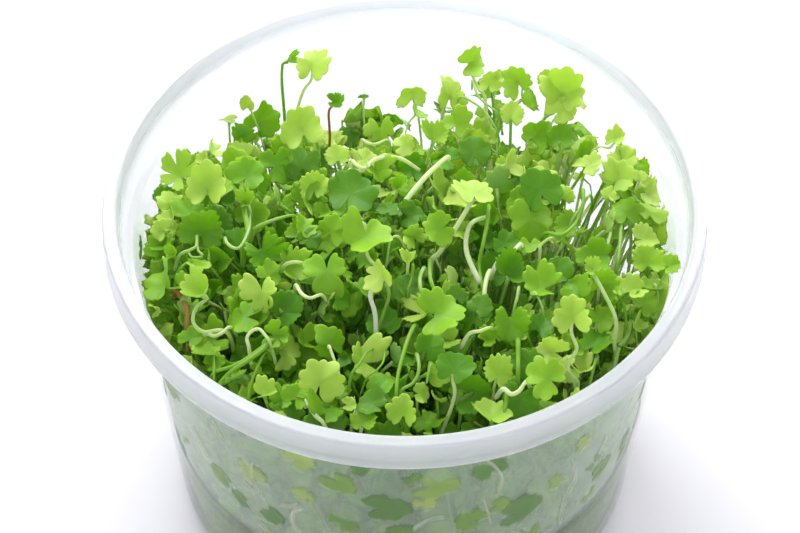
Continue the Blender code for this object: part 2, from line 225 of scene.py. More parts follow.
# Shape of a blade, as shares of its radius: how far out the notches between lobes and the
# notch over the stalk begin, scallops, cupping, funnel, fold along the middle lobe, droop
# of the middle lobe, waves of the edge, how differently the lobes bend, how broad they are and
# how many pairs of them stand beside the middle one
Shape = namedtuple("Shape", "notch sinus scallop cup funnel fold droop wave bend breadth pairs")
SHAPES = {
    "open": Shape(0.66, 0.20, 0.15, 0.20, 0.04, 0.18, 0.14, 0.10, 0.44, 1.02, 1),
    "star": Shape(0.62, 0.22, 0.14, 0.22, 0.04, 0.18, 0.14, 0.10, 0.40, 1.04, 2),
    "round": Shape(0.82, 0.28, 0.11, 0.22, 0.00, 0.12, 0.12, 0.10, 0.30, 1.00, 1),
    "cupped": Shape(0.64, 0.26, 0.14, 0.60, 0.12, 0.10, 0.00, 0.10, 0.30, 1.02, 2),
    "funnel": Shape(0.60, 0.45, 0.13, 0.35, 0.85, 0.00, -0.10, 0.08, 0.14, 1.00, 1),
    "folded": Shape(0.52, 0.22, 0.13, 0.08, 0.00, 0.95, 0.05, 0.06, 0.16, 1.00, 1),
    "bud": Shape(0.70, 0.60, 0.08, 0.80, 0.55, 0.30, 0.00, 0.05, 0.05, 1.00, 1),
    "fingered": Shape(0.26, 0.12, 0.14, 0.25, 0.10, 0.10, 0.00, 0.04, 0.20, 0.86, 2),
    "hanging": Shape(0.46, 0.14, 0.14, 0.14, 0.05, 0.35, 0.55, 0.06, 0.14, 1.00, 1),
}
SHAPE_SHARES = {"open": 0.26, "star": 0.22, "round": 0.14, "cupped": 0.18, "funnel": 0.05, "folded": 0.15}

# A leaf standing on its own stalk. The stalk's places run from its foot to the leaf. The
# leaf leans towards the heading and its middle lobe points along spin. Age runs from 0,
# young and lime, to 1, old and deep green; tone from 0, blanched, to 1, reddened.
Sprig = namedtuple("Sprig", "stalk thickness width lean heading spin shape age tone")
SPRIGS = [
    Sprig([(-19.5, 33.5, 51), (-18, 33, 60.5), (-16.3, 32, 65), (-16, 31.5, 69)],
          0.7, 6.8, 30, -90, 80, "open", 0.05, 0.15),
    Sprig([(-21.4, 33, 51), (-21.5, 33, 63), (-21.3, 33.2, 67), (-20.3, 33.6, 68)],
          0.7, 2.4, 55, 0, 0, "bud", 0.30, 0.45),
    Sprig([(-13.3, 30, 52), (-13.3, 30, 59), (-12.2, 30, 61.5)], 0.6, 3.6, 20, -90, 0, "cupped", 0.5, 0.95),
    Sprig([(-35, 12, 58), (-37, 11, 61), (-38, 10.2, 64.4)], 0.7, 8.0, 20, -90, 140, "fingered", 0.22, 0.4),
    Sprig([(-30, 5, 60), (-32, 5, 63), (-33, 5.8, 66.2)], 0.8, 7.8, 35, -90, 90, "open", 0.12, 0.4),
    Sprig([(-15, 22, 58), (-17, 21, 61), (-17.5, 20.5, 65)], 0.8, 8.0, 30, -90, 100, "round", 0.12, 0.4),
    Sprig([(-24, 7, 60), (-25.5, 7.5, 63), (-26.3, 8.5, 66.5)], 0.7, 6.4, 20, -90, 60, "round", 0.45, 0.45),
    Sprig([(-28.5, -20.5, 60), (-32.5, -22.1, 63), (-34, -21.5, 65), (-33.4, -19.7, 66.4),
           (-32.3, -18.3, 67.6)], 0.8, 5.4, 25, 180, 60, "funnel", 0.18, 0.2),
    Sprig([(-10, -34, 60), (-12.5, -34.5, 63), (-13.3, -34.6, 66.5)],
          0.8, 7.8, 45, -90, 80, "open", 0.12, 0.4),
    Sprig([(-12, 2, 60), (-10, 3, 63.5), (-9.2, 4, 67)], 0.8, 8.6, 20, -90, 75, "round", 0.85, 0.4),
    Sprig([(-4, -8, 60), (-6, -7, 63.5), (-6.5, -6.2, 67.6)], 0.8, 8.8, 12, -90, -90, "round", 0.3, 0.1),
    Sprig([(2, -2, 60), (4.5, -3, 63.5), (5.5, -3.9, 67)], 0.7, 5.8, 30, -90, 200, "round", 0.35, 0.4),
    Sprig([(4.3, -5, 58), (5.8, -4.8, 62.3), (8.7, -1.7, 65.4), (11, 1.5, 67.6), (11.5, 2.2, 68.9)],
          1.1, 7.6, 6, 90, 90, "open", 0.1, 0.12),
    Sprig([(-4.7, -20.4, 56), (-4.8, -18, 62), (-5.6, -15.8, 64.5), (-4.6, -14.8, 66.2), (-3.5, -14.4, 67.6)],
          1.0, 6.0, 50, -150, 100, "folded", 0.03, -0.1),
    Sprig([(8, -19, 60), (6.5, -20.5, 63.5), (5.6, -22, 67.5)], 0.8, 9.2, 15, -90, 20, "open", 0.35, 0.4),
    Sprig([(19, 6, 60), (21.5, 5.5, 63.5), (22.5, 5, 66.8)], 0.8, 7.8, 25, -90, 110, "round", 0.7, 0.4),
    Sprig([(5.8, -35.8, 54), (7.8, -33.4, 60.5), (7.6, -32.3, 63.6), (7.7, -31.5, 65.4)],
          0.8, 6.2, 20, -90, 70, "round", 0.65, 0.1),
    Sprig([(27.5, -29, 55), (26, -27.7, 61), (27.4, -26.4, 64), (26.5, -24.8, 66.3), (26.7, -23.6, 68.5)],
          0.8, 6.8, 35, -90, 90, "open", 0.12, 0.15),
    Sprig([(20, -32.5, 60), (21.5, -33.5, 63), (22.3, -34, 66.3)],
          0.8, 7.2, 30, -90, 150, "open", 0.3, 0.4),
    Sprig([(34.3, -22.5, 55), (34, -21.6, 59.5), (34, -20, 63.7), (32, -16.3, 66.2), (30.3, -13, 68)],
          0.9, 3.2, 20, -90, 120, "cupped", 0.2, 0.2),
    Sprig([(40, -13, 58), (41.5, -12.6, 63), (43, -12, 67.4)], 0.6, 3.6, 25, -90, 20, "open", 0.3, 0.4),
    Sprig([(24, 27, 58), (26.3, 26.6, 63), (27, 26.2, 67.5)], 0.8, 8.4, 34, -90, 75, "open", 0.1, 0.4),
    Sprig([(14.5, 33, 57), (13, 32.8, 62), (11.8, 32.4, 66), (11.5, 32.3, 69)],
          0.7, 5.6, 40, -60, 30, "folded", 0.2, 0.15),
    Sprig([(31.5, 18.5, 58), (33, 17.2, 63.8), (35, 16.4, 64.6), (36, 17, 66.4)],
          0.6, 4.0, 25, -90, 60, "open", 0.05, 0.15),
    Sprig([(34, 9, 58), (35.2, 8, 63), (36, 7.5, 66.8)], 0.7, 6.2, 25, -90, 40, "open", 0.12, 0.4),
    Sprig([(17.5, 31, 57), (19, 30, 62), (19.6, 29.4, 67.2)], 0.7, 6.0, 55, -90, 110, "open", 0.2, 0.4),
]

# Bare runners over the plantlets: places, thickness
RUNNERS = [
    ([(-1, 2.2, 63.5), (-0.2, 3.6, 64.8), (3.4, 9, 65.3), (7, 14.2, 64.4), (7.6, 15.2, 63)], 1.0),
    ([(-9.6, 13.6, 62), (-7.2, 12, 63.8), (-4.8, 14.2, 64.2), (-1, 14.6, 64), (2.6, 13.6, 62)], 0.8),
    ([(12.4, -11, 61.5), (10.2, -5.3, 63.2), (10.9, -1, 64.8), (14, 2.4, 63)], 0.9),
]

# Leaves of the plantlets as they are seen: column and row of the stalk's end in the
# photograph, height over the mat's top, width, lean, heading, spin, shape and age. Each
# one is set where the line of sight meets the mat at that height.
Leaf = namedtuple("Leaf", "place width lean heading spin shape age")
Seen = namedtuple("Seen", "column row above width lean heading spin shape age")
SEEN_LEAVES = [
    # Back, from left to right
    Seen(260, 122, 0.5, 8.0, 35, -90, 60, "round", 0.62),
    Seen(241, 134, -0.5, 5.0, 45, -60, 90, "folded", 0.72),
    Seen(248, 106, 2.0, 3.2, 40, -90, 90, "cupped", 0.05),
    Seen(229, 119, 2.0, 3.6, 35, 90, 170, "open", 0.12),
    Seen(210, 152, 2.0, 4.0, 80, 0, 90, "folded", 0.12),
    Seen(202, 160, 1.5, 2.6, 30, -90, 150, "round", 0.0),
    Seen(236, 168, 0.4, 7.0, 30, -90, 60, "open", 0.38),
    Seen(256, 180, 0.6, 5.6, 30, -90, 100, "round", 0.52),
    Seen(239, 163, 3.2, 1.9, 10, -90, 0, "bud", 0.12),
    Seen(276, 165, -0.3, 7.0, 30, -70, 40, "open", 0.6),
    Seen(300, 166, -0.6, 7.0, 25, -90, 120, "round", 0.93),
    Seen(285, 145, 0.0, 6.0, 30, -120, 60, "open", 0.45),
    Seen(248, 204, 1.5, 3.6, 50, 200, 30, "funnel", 0.28),
    Seen(380, 130, 1.0, 6.0, 30, -90, -90, "hanging", 0.38),
    Seen(413, 97, 2.5, 5.8, 20, -90, 80, "open", 0.3),
    Seen(416, 114, 1.2, 3.8, 70, 0, 80, "folded", 0.42),
    Seen(404, 145, 0.3, 4.8, 12, -90, 20, "round", 0.15),
    Seen(364, 98, 3.5, 2.4, 25, 90, 150, "open", 0.8),
    Seen(337, 159, 0.6, 5.4, 30, -90, 100, "open", 0.25),
    Seen(314, 188, 1.4, 5.6, 40, -90, 90, "open", 0.22),
    Seen(434, 139, 0.8, 6.0, 35, -90, 60, "cupped", 0.38),
    Seen(457, 124, 0.6, 6.4, 10, -90, 60, "open", 0.4),
    Seen(450, 96, 2.4, 7.0, 72, -70, 92, "open", 0.25),
    Seen(489, 84, 2.5, 4.2, 45, -90, 80, "round", 0.25),
    Seen(577, 100, 4.5, 5.0, 45, -40, 60, "round", 0.05),
    Seen(561, 110, 5.0, 5.6, 45, -90, 40, "round", 0.12),
    Seen(548, 80, 5.0, 4.2, 50, -120, 90, "cupped", 0.05),
    Seen(499, 77, 4.0, 2.4, 40, -90, 60, "round", 0.0),
    Seen(511, 117, 0.8, 5.2, 40, -90, 90, "open", 0.28),
    Seen(536, 136, 0.0, 6.4, 30, -90, 40, "round", 0.6),
    Seen(474, 153, 0.0, 6.4, 28, -90, 100, "round", 0.93),
    Seen(448, 160, -0.8, 6.0, 20, -90, 150, "open", 0.7),
    Seen(560, 137, 0.3, 5.4, 35, -90, 90, "round", 0.7),
    Seen(582, 154, 0.0, 6.0, 30, -60, 60, "open", 0.6),
    Seen(588, 166, 1.2, 5.8, 25, -90, 30, "open", 0.2),
    Seen(625, 161, 0.8, 5.6, 35, -90, 80, "open", 0.18),
    Seen(640, 180, 1.2, 3.8, 30, -60, 60, "open", 0.15),
    Seen(608, 195, 1.8, 3.2, 30, -90, 90, "round", 0.25),
    Seen(563, 196, 1.2, 4.4, 35, -90, 90, "open", 0.3),
    # Middle band
    Seen(172, 223, 1.0, 5.0, 35, 180, 100, "folded", 0.15),
    Seen(170, 204, 1.2, 5.2, 50, -60, 80, "round", 0.14),
    Seen(189, 214, 0.4, 6.4, 35, -90, 60, "round", 0.42),
    Seen(165, 231, 1.4, 4.6, 40, -100, 100, "round", 0.14),
    Seen(202, 232, 0.6, 8.6, 45, -60, 80, "open", 0.5),
    Seen(164, 246, 0.4, 4.2, 40, 180, 120, "round", 0.52),
    Seen(174, 256, 2.4, 2.4, 30, 200, 60, "bud", 0.32),
    Seen(197, 264, 2.0, 5.0, 38, 90, 10, "open", 0.27),
    Seen(164, 286, 0.6, 8.2, 45, 200, 120, "open", 0.36),
    Seen(184, 288, 1.8, 5.4, 8, 90, -20, "folded", 0.36),
    Seen(262, 254, 0.6, 7.2, 20, -90, -60, "open", 0.52),
    Seen(301, 229, 1.2, 4.8, 60, 0, 90, "folded", 0.3),
    Seen(309, 238, 0.8, 4.4, 25, -90, 60, "round", 0.93),
    Seen(331, 231, 1.2, 6.6, 40, -90, 70, "open", 0.3),
    Seen(376, 171, 0.8, 5.4, 35, -60, -60, "folded", 0.35),
    Seen(398, 188, 1.6, 3.2, 10, -90, 60, "bud", 0.4),
    Seen(413, 169, -0.6, 5.8, 25, -90, 90, "round", 0.72),
    Seen(390, 211, 0.8, 4.8, 30, -90, 60, "round", 0.93),
    Seen(411, 216, 0.4, 5.4, 20, -90, 10, "round", 0.93),
    Seen(413, 236, 1.4, 4.8, 25, -90, 120, "open", 0.2),
    Seen(506, 165, 1.6, 5.8, 75, -20, 90, "folded", 0.15),
    Seen(532, 219, 0.6, 9.0, 28, -90, -80, "open", 0.42),
    Seen(530, 246, 0.8, 4.0, 35, -90, -90, "round", 0.4),
    Seen(505, 244, -0.8, 5.0, 25, -90, 90, "round", 0.62),
    Seen(626, 214, 1.0, 7.2, 25, -90, 100, "open", 0.56),
    Seen(650, 213, 0.6, 5.8, 40, -30, 90, "round", 0.4),
    Seen(644, 240, 1.0, 5.4, 15, -90, 10, "open", 0.3),
    Seen(648, 263, 1.6, 6.2, 48, -110, 90, "cupped", 0.42),
    Seen(592, 257, 0.3, 6.8, 25, -90, 60, "round", 0.56),
    Seen(556, 272, 0.5, 5.4, 25, -90, 20, "round", 0.93),
    Seen(605, 231, 0.8, 5.4, 70, 0, 90, "folded", 0.38),
    Seen(604, 284, 0.6, 6.2, 35, -70, 60, "open", 0.46),
    Seen(575, 290, 0.2, 6.0, 25, -90, 120, "open", 0.5),
    Seen(569, 225, 0.0, 5.6, 25, -90, 150, "open", 0.48),
    # Front, from left to right
    Seen(262, 293, 2.2, 7.2, 22, -90, -86, "hanging", 0.1),
    Seen(268, 276, 1.2, 4.8, 28, -90, 60, "round", 0.36),
    Seen(245, 317, 1.4, 7.2, 30, -90, 175, "open", 0.4),
    Seen(284, 312, -0.8, 7.0, 28, -90, 40, "open", 0.74),
    Seen(276, 335, 0.8, 5.4, 20, -90, 0, "folded", 0.4),
    Seen(191, 338, 0.6, 4.4, 30, -90, 60, "round", 0.46),
    Seen(208, 354, 0.8, 5.2, 12, -90, 160, "open", 0.25),
    Seen(214, 364, 0.0, 4.2, 15, -90, 30, "open", 0.42),
    Seen(264, 395, 1.6, 4.8, 45, 60, 20, "folded", 0.15),
    Seen(296, 397, 0.6, 5.4, 35, -90, 60, "open", 0.36),
    Seen(327, 272, 1.6, 8.6, 28, -90, -88, "hanging", 0.38),
    Seen(338, 297, -0.6, 6.2, 25, -60, 30, "open", 0.5),
    Seen(408, 262, 3.0, 2.8, 20, -90, 60, "bud", 0.1),
    Seen(408, 287, -0.4, 5.6, 25, -90, 90, "round", 0.93),
    Seen(361, 289, 0.8, 6.2, 60, 30, -50, "folded", 0.4),
    Seen(330, 344, 0.8, 6.6, 35, -90, 130, "open", 0.45),
    Seen(385, 324, -0.8, 6.6, 15, -90, 80, "round", 0.64),
    Seen(373, 350, 0.0, 4.2, 8, -90, 10, "open", 0.36),
    Seen(327, 412, 0.4, 6.2, 25, -90, 60, "open", 0.46),
    Seen(349, 405, 1.0, 2.8, 20, -90, 0, "round", 0.15),
    Seen(381, 386, 0.2, 5.0, 25, -90, 60, "round", 0.52),
    Seen(371, 404, 0.2, 5.4, 22, -90, 150, "round", 0.93),
    Seen(362, 424, 0.6, 4.8, 20, -90, 90, "open", 0.36),
    Seen(404, 413, 0.8, 5.8, 35, -90, 80, "open", 0.22),
    Seen(428, 374, 1.2, 5.4, 75, 10, 90, "folded", 0.26),
    Seen(420, 394, 0.8, 3.6, 25, -90, 0, "round", 0.2),
    Seen(428, 348, 0.3, 5.8, 25, -90, 60, "round", 0.54),
    Seen(457, 295, 0.8, 3.8, 30, -90, 90, "round", 0.93),
    Seen(480, 307, 0.6, 4.6, 25, -90, 60, "round", 0.93),
    Seen(510, 274, 1.0, 6.2, 25, -90, 60, "cupped", 0.6),
    Seen(541, 288, 0.6, 7.2, 12, -90, 160, "open", 0.4),
    Seen(510, 323, 0.8, 7.4, 28, -90, -90, "open", 0.45),
    Seen(541, 327, -0.3, 5.0, 25, -90, 60, "round", 0.8),
    Seen(552, 352, 1.4, 5.8, 22, -90, 170, "open", 0.08),
    Seen(498, 375, 1.2, 5.6, 38, -90, 70, "open", 0.24),
    Seen(600, 320, -0.4, 5.4, 25, -90, 60, "open", 0.5),
    Seen(594, 345, -1.2, 6.4, 25, -120, 60, "open", 0.66),
    Seen(630, 290, 1.0, 6.2, 12, -90, 60, "open", 0.3),
    Seen(644, 304, 0.4, 5.2, 30, -60, 60, "round", 0.5),
    Seen(491, 418, 0.8, 6.8, 25, -90, 95, "open", 0.2),
    Seen(306, 392, 0.2, 4.0, 25, -90, 150, "round", 0.4),
]

# Bare stalks and runners as they are seen: (column, row, height over the mat's top) along
# each, its thickness and its tone
SEEN_STALKS = [
    ([(352, 161, 0.5), (358, 166, 2.0), (366, 168, 2.4), (376, 159, 2.4), (387, 155, 2.2)], 0.9, 0.05),
    ([(362, 140, 1.4), (368, 143, 2.2), (376, 144, 2.4), (388, 140, 1.5)], 0.8, 0.1),
    ([(342, 228, 1.5), (349, 222, 2.8), (357, 221, 3.0), (365, 226, 2.0)], 1.1, -0.1),
    ([(255, 229, 0.5), (266, 223, 2.4), (280, 218, 2.8), (295, 216, 1.0)], 0.9, 0.3),
    ([(225, 238, 1.0), (227, 243, 2.4), (234, 248, 2.6), (241, 246, 2.6), (249, 229, 1.6),
      (250, 214, 0.5)], 0.8, 0.2),
    ([(244, 246, 0.5), (248, 232, 1.2), (245, 214, 1.5), (241, 195, 1.0)], 1.5, 0.42),
    ([(176, 279, 0.5), (179, 271, 1.8), (184, 265, 2.2), (192, 262, 1.8)], 0.8, 0.35),
    ([(180, 255, 2.2), (190, 250, 3.0), (196, 246, 3.0), (197, 236, 2.0)], 0.8, 0.25),
    ([(197, 238, 2.0), (198, 250, 3.0), (203, 256, 3.2), (192, 257, 3.0), (188, 252, 2.4)], 0.6, 0.25),
    ([(176, 290, 1.2), (182, 299, 1.8), (187, 311, 1.6), (187, 330, 0.4)], 1.1, 0.92),
    ([(189, 300, 0.8), (193, 314, 1.0), (194, 330, 0.2)], 0.8, 0.42),
    ([(206, 334, 1.0), (214, 336, 2.2), (222, 333, 2.4), (230, 327, 1.5)], 0.9, 0.02),
    ([(249, 348, 0.5), (247, 338, 1.8), (252, 331, 2.4), (259, 329, 2.6), (265, 335, 2.4),
      (270, 343, 1.6)], 0.85, 0.05),
    ([(272, 340, 1.0), (262, 350, 1.6), (247, 361, 1.8), (232, 371, 1.4), (220, 384, 0.2)], 1.2, 0.42),
    ([(270, 343, 0.8), (256, 352, 1.3), (236, 365, 1.4), (214, 373, 0.4)], 1.0, 0.42),
    ([(266, 352, 0.4), (258, 366, 0.6), (251, 384, 0.2), (249, 398, -0.6)], 0.8, 0.5),
    ([(213, 350, 0.8), (214, 366, 1.0), (214, 382, 0.2)], 0.7, 0.4),
    ([(284, 266, 1.0), (294, 262, 2.4), (305, 264, 2.6), (314, 268, 1.8)], 0.9, 0.15),
    ([(296, 285, 1.0), (301, 293, 2.4), (310, 298, 2.6), (322, 295, 1.4)], 0.9, 0.02),
    ([(329, 346, 1.4), (332, 354, 1.4), (336, 365, 0.8), (340, 378, 0.0)], 0.7, 0.1),
    ([(307, 400, 1.2), (310, 407, 2.0), (316, 416, 1.8), (324, 424, 0.6)], 1.1, 0.0),
    ([(352, 374, 0.2), (360, 363, 1.0), (367, 352, 1.2), (377, 349, 0.8)], 0.7, 0.4),
    ([(385, 350, 0.4), (383, 362, 0.9), (376, 371, 0.8), (367, 378, 0.0)], 0.5, 0.4),
    ([(415, 325, 0.5), (408, 339, 1.2), (403, 355, 1.4), (398, 375, 1.2), (396, 396, 0.3)], 1.0, 0.38),
    ([(417, 354, 0.3), (419, 370, 0.9), (413, 383, 1.0), (401, 391, 0.6)], 0.9, 0.3),
    ([(413, 265, 2.6), (412, 277, 1.6), (408, 292, 0.4)], 0.8, 0.4),
    ([(386, 284, 1.6), (389, 296, 1.4), (384, 312, 1.2), (378, 330, 0.8)], 0.9, 0.32),
    ([(399, 237, 1.6), (392, 238, 2.2), (389, 247, 1.4)], 0.6, 0.1),
    ([(424, 268, 1.8), (420, 278, 2.2), (421, 290, 1.8), (427, 306, 0.4)], 0.95, 0.25),
    ([(430, 260, 2.0), (430, 276, 2.4), (434, 289, 1.8), (442, 300, 0.4)], 1.0, 0.35),
    ([(489, 206, 1.6), (487, 224, 2.0), (483, 244, 1.8), (479, 266, 0.8), (483, 290, 0.0)], 1.0, 0.45),
    ([(490, 271, 1.0), (486, 281, 2.0), (484, 298, 0.8)], 1.2, 0.02),
    ([(469, 334, 0.8), (480, 331, 1.6), (492, 328, 1.0)], 0.9, 0.02),
    ([(497, 263, 1.6), (506, 256, 2.6), (514, 250, 2.8), (521, 244, 1.8)], 1.0, -0.1),
    ([(519, 287, 1.0), (517, 298, 1.0), (514, 310, 0.2)], 0.8, 0.25),
    ([(534, 292, 0.8), (540, 301, 0.8), (543, 312, 0.0)], 0.6, 0.15),
    ([(518, 340, 0.8), (518, 356, 1.0), (518, 374, 0.2)], 1.2, 0.5),
    ([(503, 389, 1.2), (511, 394, 2.0), (519, 391, 2.2), (527, 381, 1.4)], 1.1, 0.0),
    ([(506, 393, 1.2), (506, 403, 0.8), (504, 414, 0.2)], 1.0, 0.42),
    ([(583, 190, 2.0), (583, 204, 2.4), (577, 221, 2.2), (562, 235, 1.6), (546, 233, 0.6)], 1.0, 0.38),
    ([(572, 221, 1.0), (580, 209, 1.8), (590, 195, 1.4)], 0.8, 0.28),
    ([(621, 224, 1.2), (620, 243, 1.4), (618, 262, 0.8)], 0.9, 0.3),
    ([(612, 228, 1.2), (609, 240, 1.4), (606, 250, 0.8)], 0.8, 0.2),
    ([(540, 253, 1.0), (541, 245, 1.8), (552, 238, 1.4)], 0.8, 0.15),
    ([(616, 359, 0.2), (620, 346, 1.2), (628, 335, 1.4), (631, 321, 0.8)], 1.0, 0.3),
    ([(623, 303, 0.6), (626, 320, 0.6), (624, 338, 0.0)], 0.7, 0.42),
    ([(632, 321, 0.8), (636, 333, 0.4)], 0.4, 0.2),
    ([(597, 356, 0.0), (593, 370, 0.2), (590, 384, -0.5)], 0.8, 0.3),
    ([(566, 371, 1.0), (572, 376, 1.4), (578, 382, 1.0), (578, 388, 0.2)], 0.9, 0.2),
    ([(655, 284, 1.0), (658, 296, 0.8), (657, 306, 0.2)], 0.5, 0.2),
    ([(473, 80, 3.2), (477, 94, 3.0), (485, 103, 2.6), (498, 114, 1.4)], 0.6, 0.25),
    ([(461, 97, 2.0), (474, 103, 2.6), (485, 112, 2.4), (497, 131, 0.8)], 0.6, 0.25),
]

# Leaves that lie flat against the wall, seen through it: column, row, width, spin, shape, age
WALL_SEEN = [
    (251, 472, 6.4, 90, "round", 0.05),
    (304, 496, 4.4, 100, "folded", 0.0),
    (269, 513, 6.4, -20, "open", 0.74),
    (241, 500, 4.6, 150, "round", 0.7),
    (383, 508, 9.0, 10, "open", 0.76),
    (426, 502, 4.8, -50, "folded", 0.0),
    (438, 486, 8.4, 0, "round", 0.34),
    (519, 512, 9.4, 30, "open", 0.72),
    (556, 482, 4.6, 40, "folded", 0.26),
    (583, 443, 4.0, 60, "round", 0.02),
    (297, 460, 6.4, 20, "open", 0.18),
    (345, 522, 6.0, 200, "round", 0.62),
    (470, 520, 6.8, 160, "open", 0.5),
    (222, 478, 5.6, 120, "open", 0.5),
    (600, 470, 6.0, 60, "open", 0.58),
    (340, 484, 6.6, -60, "round", 0.46),
]

# Stalks and roots that lie against the wall, seen through it: (column, row) along each, thickness, tone
WALL_STALKS = [
    ([(252, 462), (253, 478), (261, 493), (266, 497)], 0.5, -0.1),
    ([(243, 481), (250, 487), (257, 492)], 0.45, -0.1),
    ([(281, 503), (289, 505), (297, 504)], 0.5, -0.1),
    ([(303, 507), (294, 511), (293, 519), (296, 526), (303, 533)], 0.8, -0.1),
    ([(413, 529), (424, 521), (434, 517), (444, 516)], 0.5, -0.1),
    ([(487, 460), (496, 467), (502, 478), (498, 491)], 0.6, -0.05),
    ([(484, 500), (487, 510), (490, 522)], 0.35, 0.0),
    ([(572, 459), (574, 477), (564, 497), (558, 523)], 0.45, -0.1),
    ([(193, 426), (201, 441), (210, 458)], 0.5, -0.05),
    ([(212, 420), (218, 430), (224, 440)], 0.45, -0.05),
    ([(607, 436), (600, 450), (596, 462)], 0.45, 0.0),
    ([(260, 521), (266, 527), (272, 536)], 0.5, 0.1),
]

# Lines of sight that pass between the leaves to the bright wall behind: column, row, radius
GAPS = [(540, 120, 2.2), (465, 122, 1.6), (505, 139, 1.5), (578, 205, 3.0), (593, 213, 1.8), (625, 248, 1.5),
        (625, 269, 1.2), (273, 182, 1.0), (423, 128, 2.2), (340, 165, 1.0)]


def linear(hex_colour):
    """Linear colour, with alpha, of an sRGB hex value such as #8FB84E."""
    channels = [int(hex_colour[i : i + 2], 16) / 255 for i in (1, 3, 5)]
    lit = [c / 12.92 if c <= 0.04045 else ((c + 0.055) / 1.055) ** 2.4 for c in channels]
    return (*lit, 1.0)


def colour_setting(name, description, hex_colour):
    """A colour that the user can change."""
    return FloatVectorProperty(
        name=name, description=description, subtype="COLOR", size=4, min=0, max=1, default=linear(hex_colour)
    )


def share_setting(name, description, share):
    """A share between 0 and 1 that the user can change."""
    return FloatProperty(name=name, description=description, default=share, min=0, max=1, subtype="FACTOR")


def length_setting(name, description, length):
    """A length, given in millimetres, that the user can change."""
    return FloatProperty(name=name, description=description, default=length * MM, min=0, unit="LENGTH")


class CupSettings(bpy.types.PropertyGroup):
    """Colours and finish of the cup"""

    plastic: colour_setting("Wall", "Colour of the plastic in the thin wall", "#F2F5F8")
    # The thin fog's green is painted light: the light of the leaves behind the wall, painted into the fog
    fogged: colour_setting("Thin fog", "Colour of the wall's inside where it is thinly fogged", "#A0D68C")
    # Thick fog lies mostly out at the sides, where it is a painted sheen
    thick_fog: colour_setting(
        "Thick fog", "Colour of the wall's inside where it is thickly fogged", "#E0EEE2"
    )
    rim_plastic: colour_setting("Rim", "Colour of the plastic in the thicker rim", "#F8F9FC")
    clearness: share_setting("Clearness", "Share of light that passes the wall", 0.86)
    rim_veil: share_setting("Rim's veil", "Share of light that the thicker rim throws back", 0.05)
    fog_veil: share_setting("Fog's veil", "Share of light that the fog throws back", 0.6)
    milkiness: share_setting("Milkiness", "Share of light that the rim scatters through", 0.14)
    directness: share_setting("Directness", "Share of the light through the wall that isn't bent", 0.6)
    frosting: share_setting("Frosting", "Roughness of the plastic's faces", 0.07)
    fogging: share_setting("Fogging", "Dullness of the fogged wall, as a share of the rim's", 0.55)
    blurring: share_setting("Blurring", "Roughness that the rim adds", 0.25)
    bloom: share_setting("Bloom", "Milky bloom of the wall seen at a slant", 0.28)


class GelSettings(bpy.types.PropertyGroup):
    """Colours of the gel, and its roots"""

    gel: colour_setting("Gel", "Tint of the nutrient gel", "#A9CD86")
    # The gel's edge by the wall is tinted a darker green band
    edge: colour_setting(
        "Gel's edge", "Tint of the gel where it climbs the wall, stained by the plants", "#3E7026"
    )
    roots: IntProperty(name="Roots", description="Number of roots in the gel", default=90, min=0)
    root_thickness: length_setting("Root thickness", "Diameter of a root", 0.28)


class FoliageSettings(bpy.types.PropertyGroup):
    """Colours and sizes of the blades"""

    young: colour_setting("Young blade", "Colour of the youngest blades", "#DDF080")
    grown: colour_setting("Grown blade", "Colour of grown blades", "#A4D33C")
    old: colour_setting("Old blade", "Colour of older blades", "#6CAE26")
    shaded: colour_setting("Shaded blade", "Colour of the oldest blades", "#5E9A28")
    # Waxy: a dull waxy bloom, lighter and greyer than the oldest green, and partly a painted sheen
    waxy: colour_setting("Waxy blade", "Colour of the few dull waxy blades", "#72A83A")
    underside: colour_setting("Underside", "Colour of the undersides of young blades", "#DCEBB8")
    narrow: length_setting("Narrowest", "Least width of a blade", 3.6)
    wide: length_setting("Widest", "Greatest width of a blade", 7.4)
    thickness: length_setting("Blade thickness", "Thickness of a blade at its middle", 0.18)
    seed: IntProperty(name="Seed", description="Chance arrangement of the plantlets", default=4, min=0)


class StalkSettings(bpy.types.PropertyGroup):
    """Colours and thickness of the stalks"""

    palest: colour_setting(
        "Palest stalk", "Colour of the few stalks and roots that never saw light", "#F6F9EA"
    )
    blanched: colour_setting("Blanched stalk", "Colour of stalks grown in shade", "#ECF5C2")
    green: colour_setting("Green stalk", "Colour of stalks in the light", "#9CCB48")
    reddened: colour_setting("Reddened stalk", "Colour of the few reddened stalks", "#C2925A")
    thickness: length_setting("Stalk thickness", "Usual diameter of a stalk", 0.75)


class StageSettings(bpy.types.PropertyGroup):
    """Table, lamps and camera"""

    floor: colour_setting("Floor", "Colour of the table", "#D9D6DC")
    sky: FloatProperty(
        name="Soft light", description="Strength of the light from all round", default=0.9, min=0
    )
    key: FloatProperty(
        name="Key light", description="Power of the high lamp, in watts", default=4.5, min=0
    )
    back: FloatProperty(
        name="Back light", description="Power of the low lamp behind, in watts", default=4.0, min=0
    )
    lens: FloatProperty(name="Lens", description="Focal length in millimetres", default=108.0, min=1)
    camera_place: FloatVectorProperty(
        name="Camera", description="Place of the camera", subtype="XYZ", unit="LENGTH", size=3,
        default=(-0.78 * MM, -259.1 * MM, 368.3 * MM),
    )
    camera_tilt: FloatProperty(
        name="Camera tilt", description="Degrees that the camera looks up from straight down", default=39.38
    )


def add_node(tree, kind, inputs=None, **settings):
    """A node with its settings.

    The inputs map socket names or numbers to values, or to the sockets that feed them.
    """
    made = tree.nodes.new(kind)
    for key, value in settings.items():
        setattr(made, key, value)
    for key, value in (inputs or {}).items():
        if isinstance(value, bpy.types.NodeSocket):
            tree.links.new(value, made.inputs[key])
        else:
            made.inputs[key].default_value = value
    return made


def new_material(name):
    """An empty material and its tree of nodes."""
    material = bpy.data.materials.new(name)
    material.use_nodes = True
    material.node_tree.nodes.clear()
    return material, material.node_tree


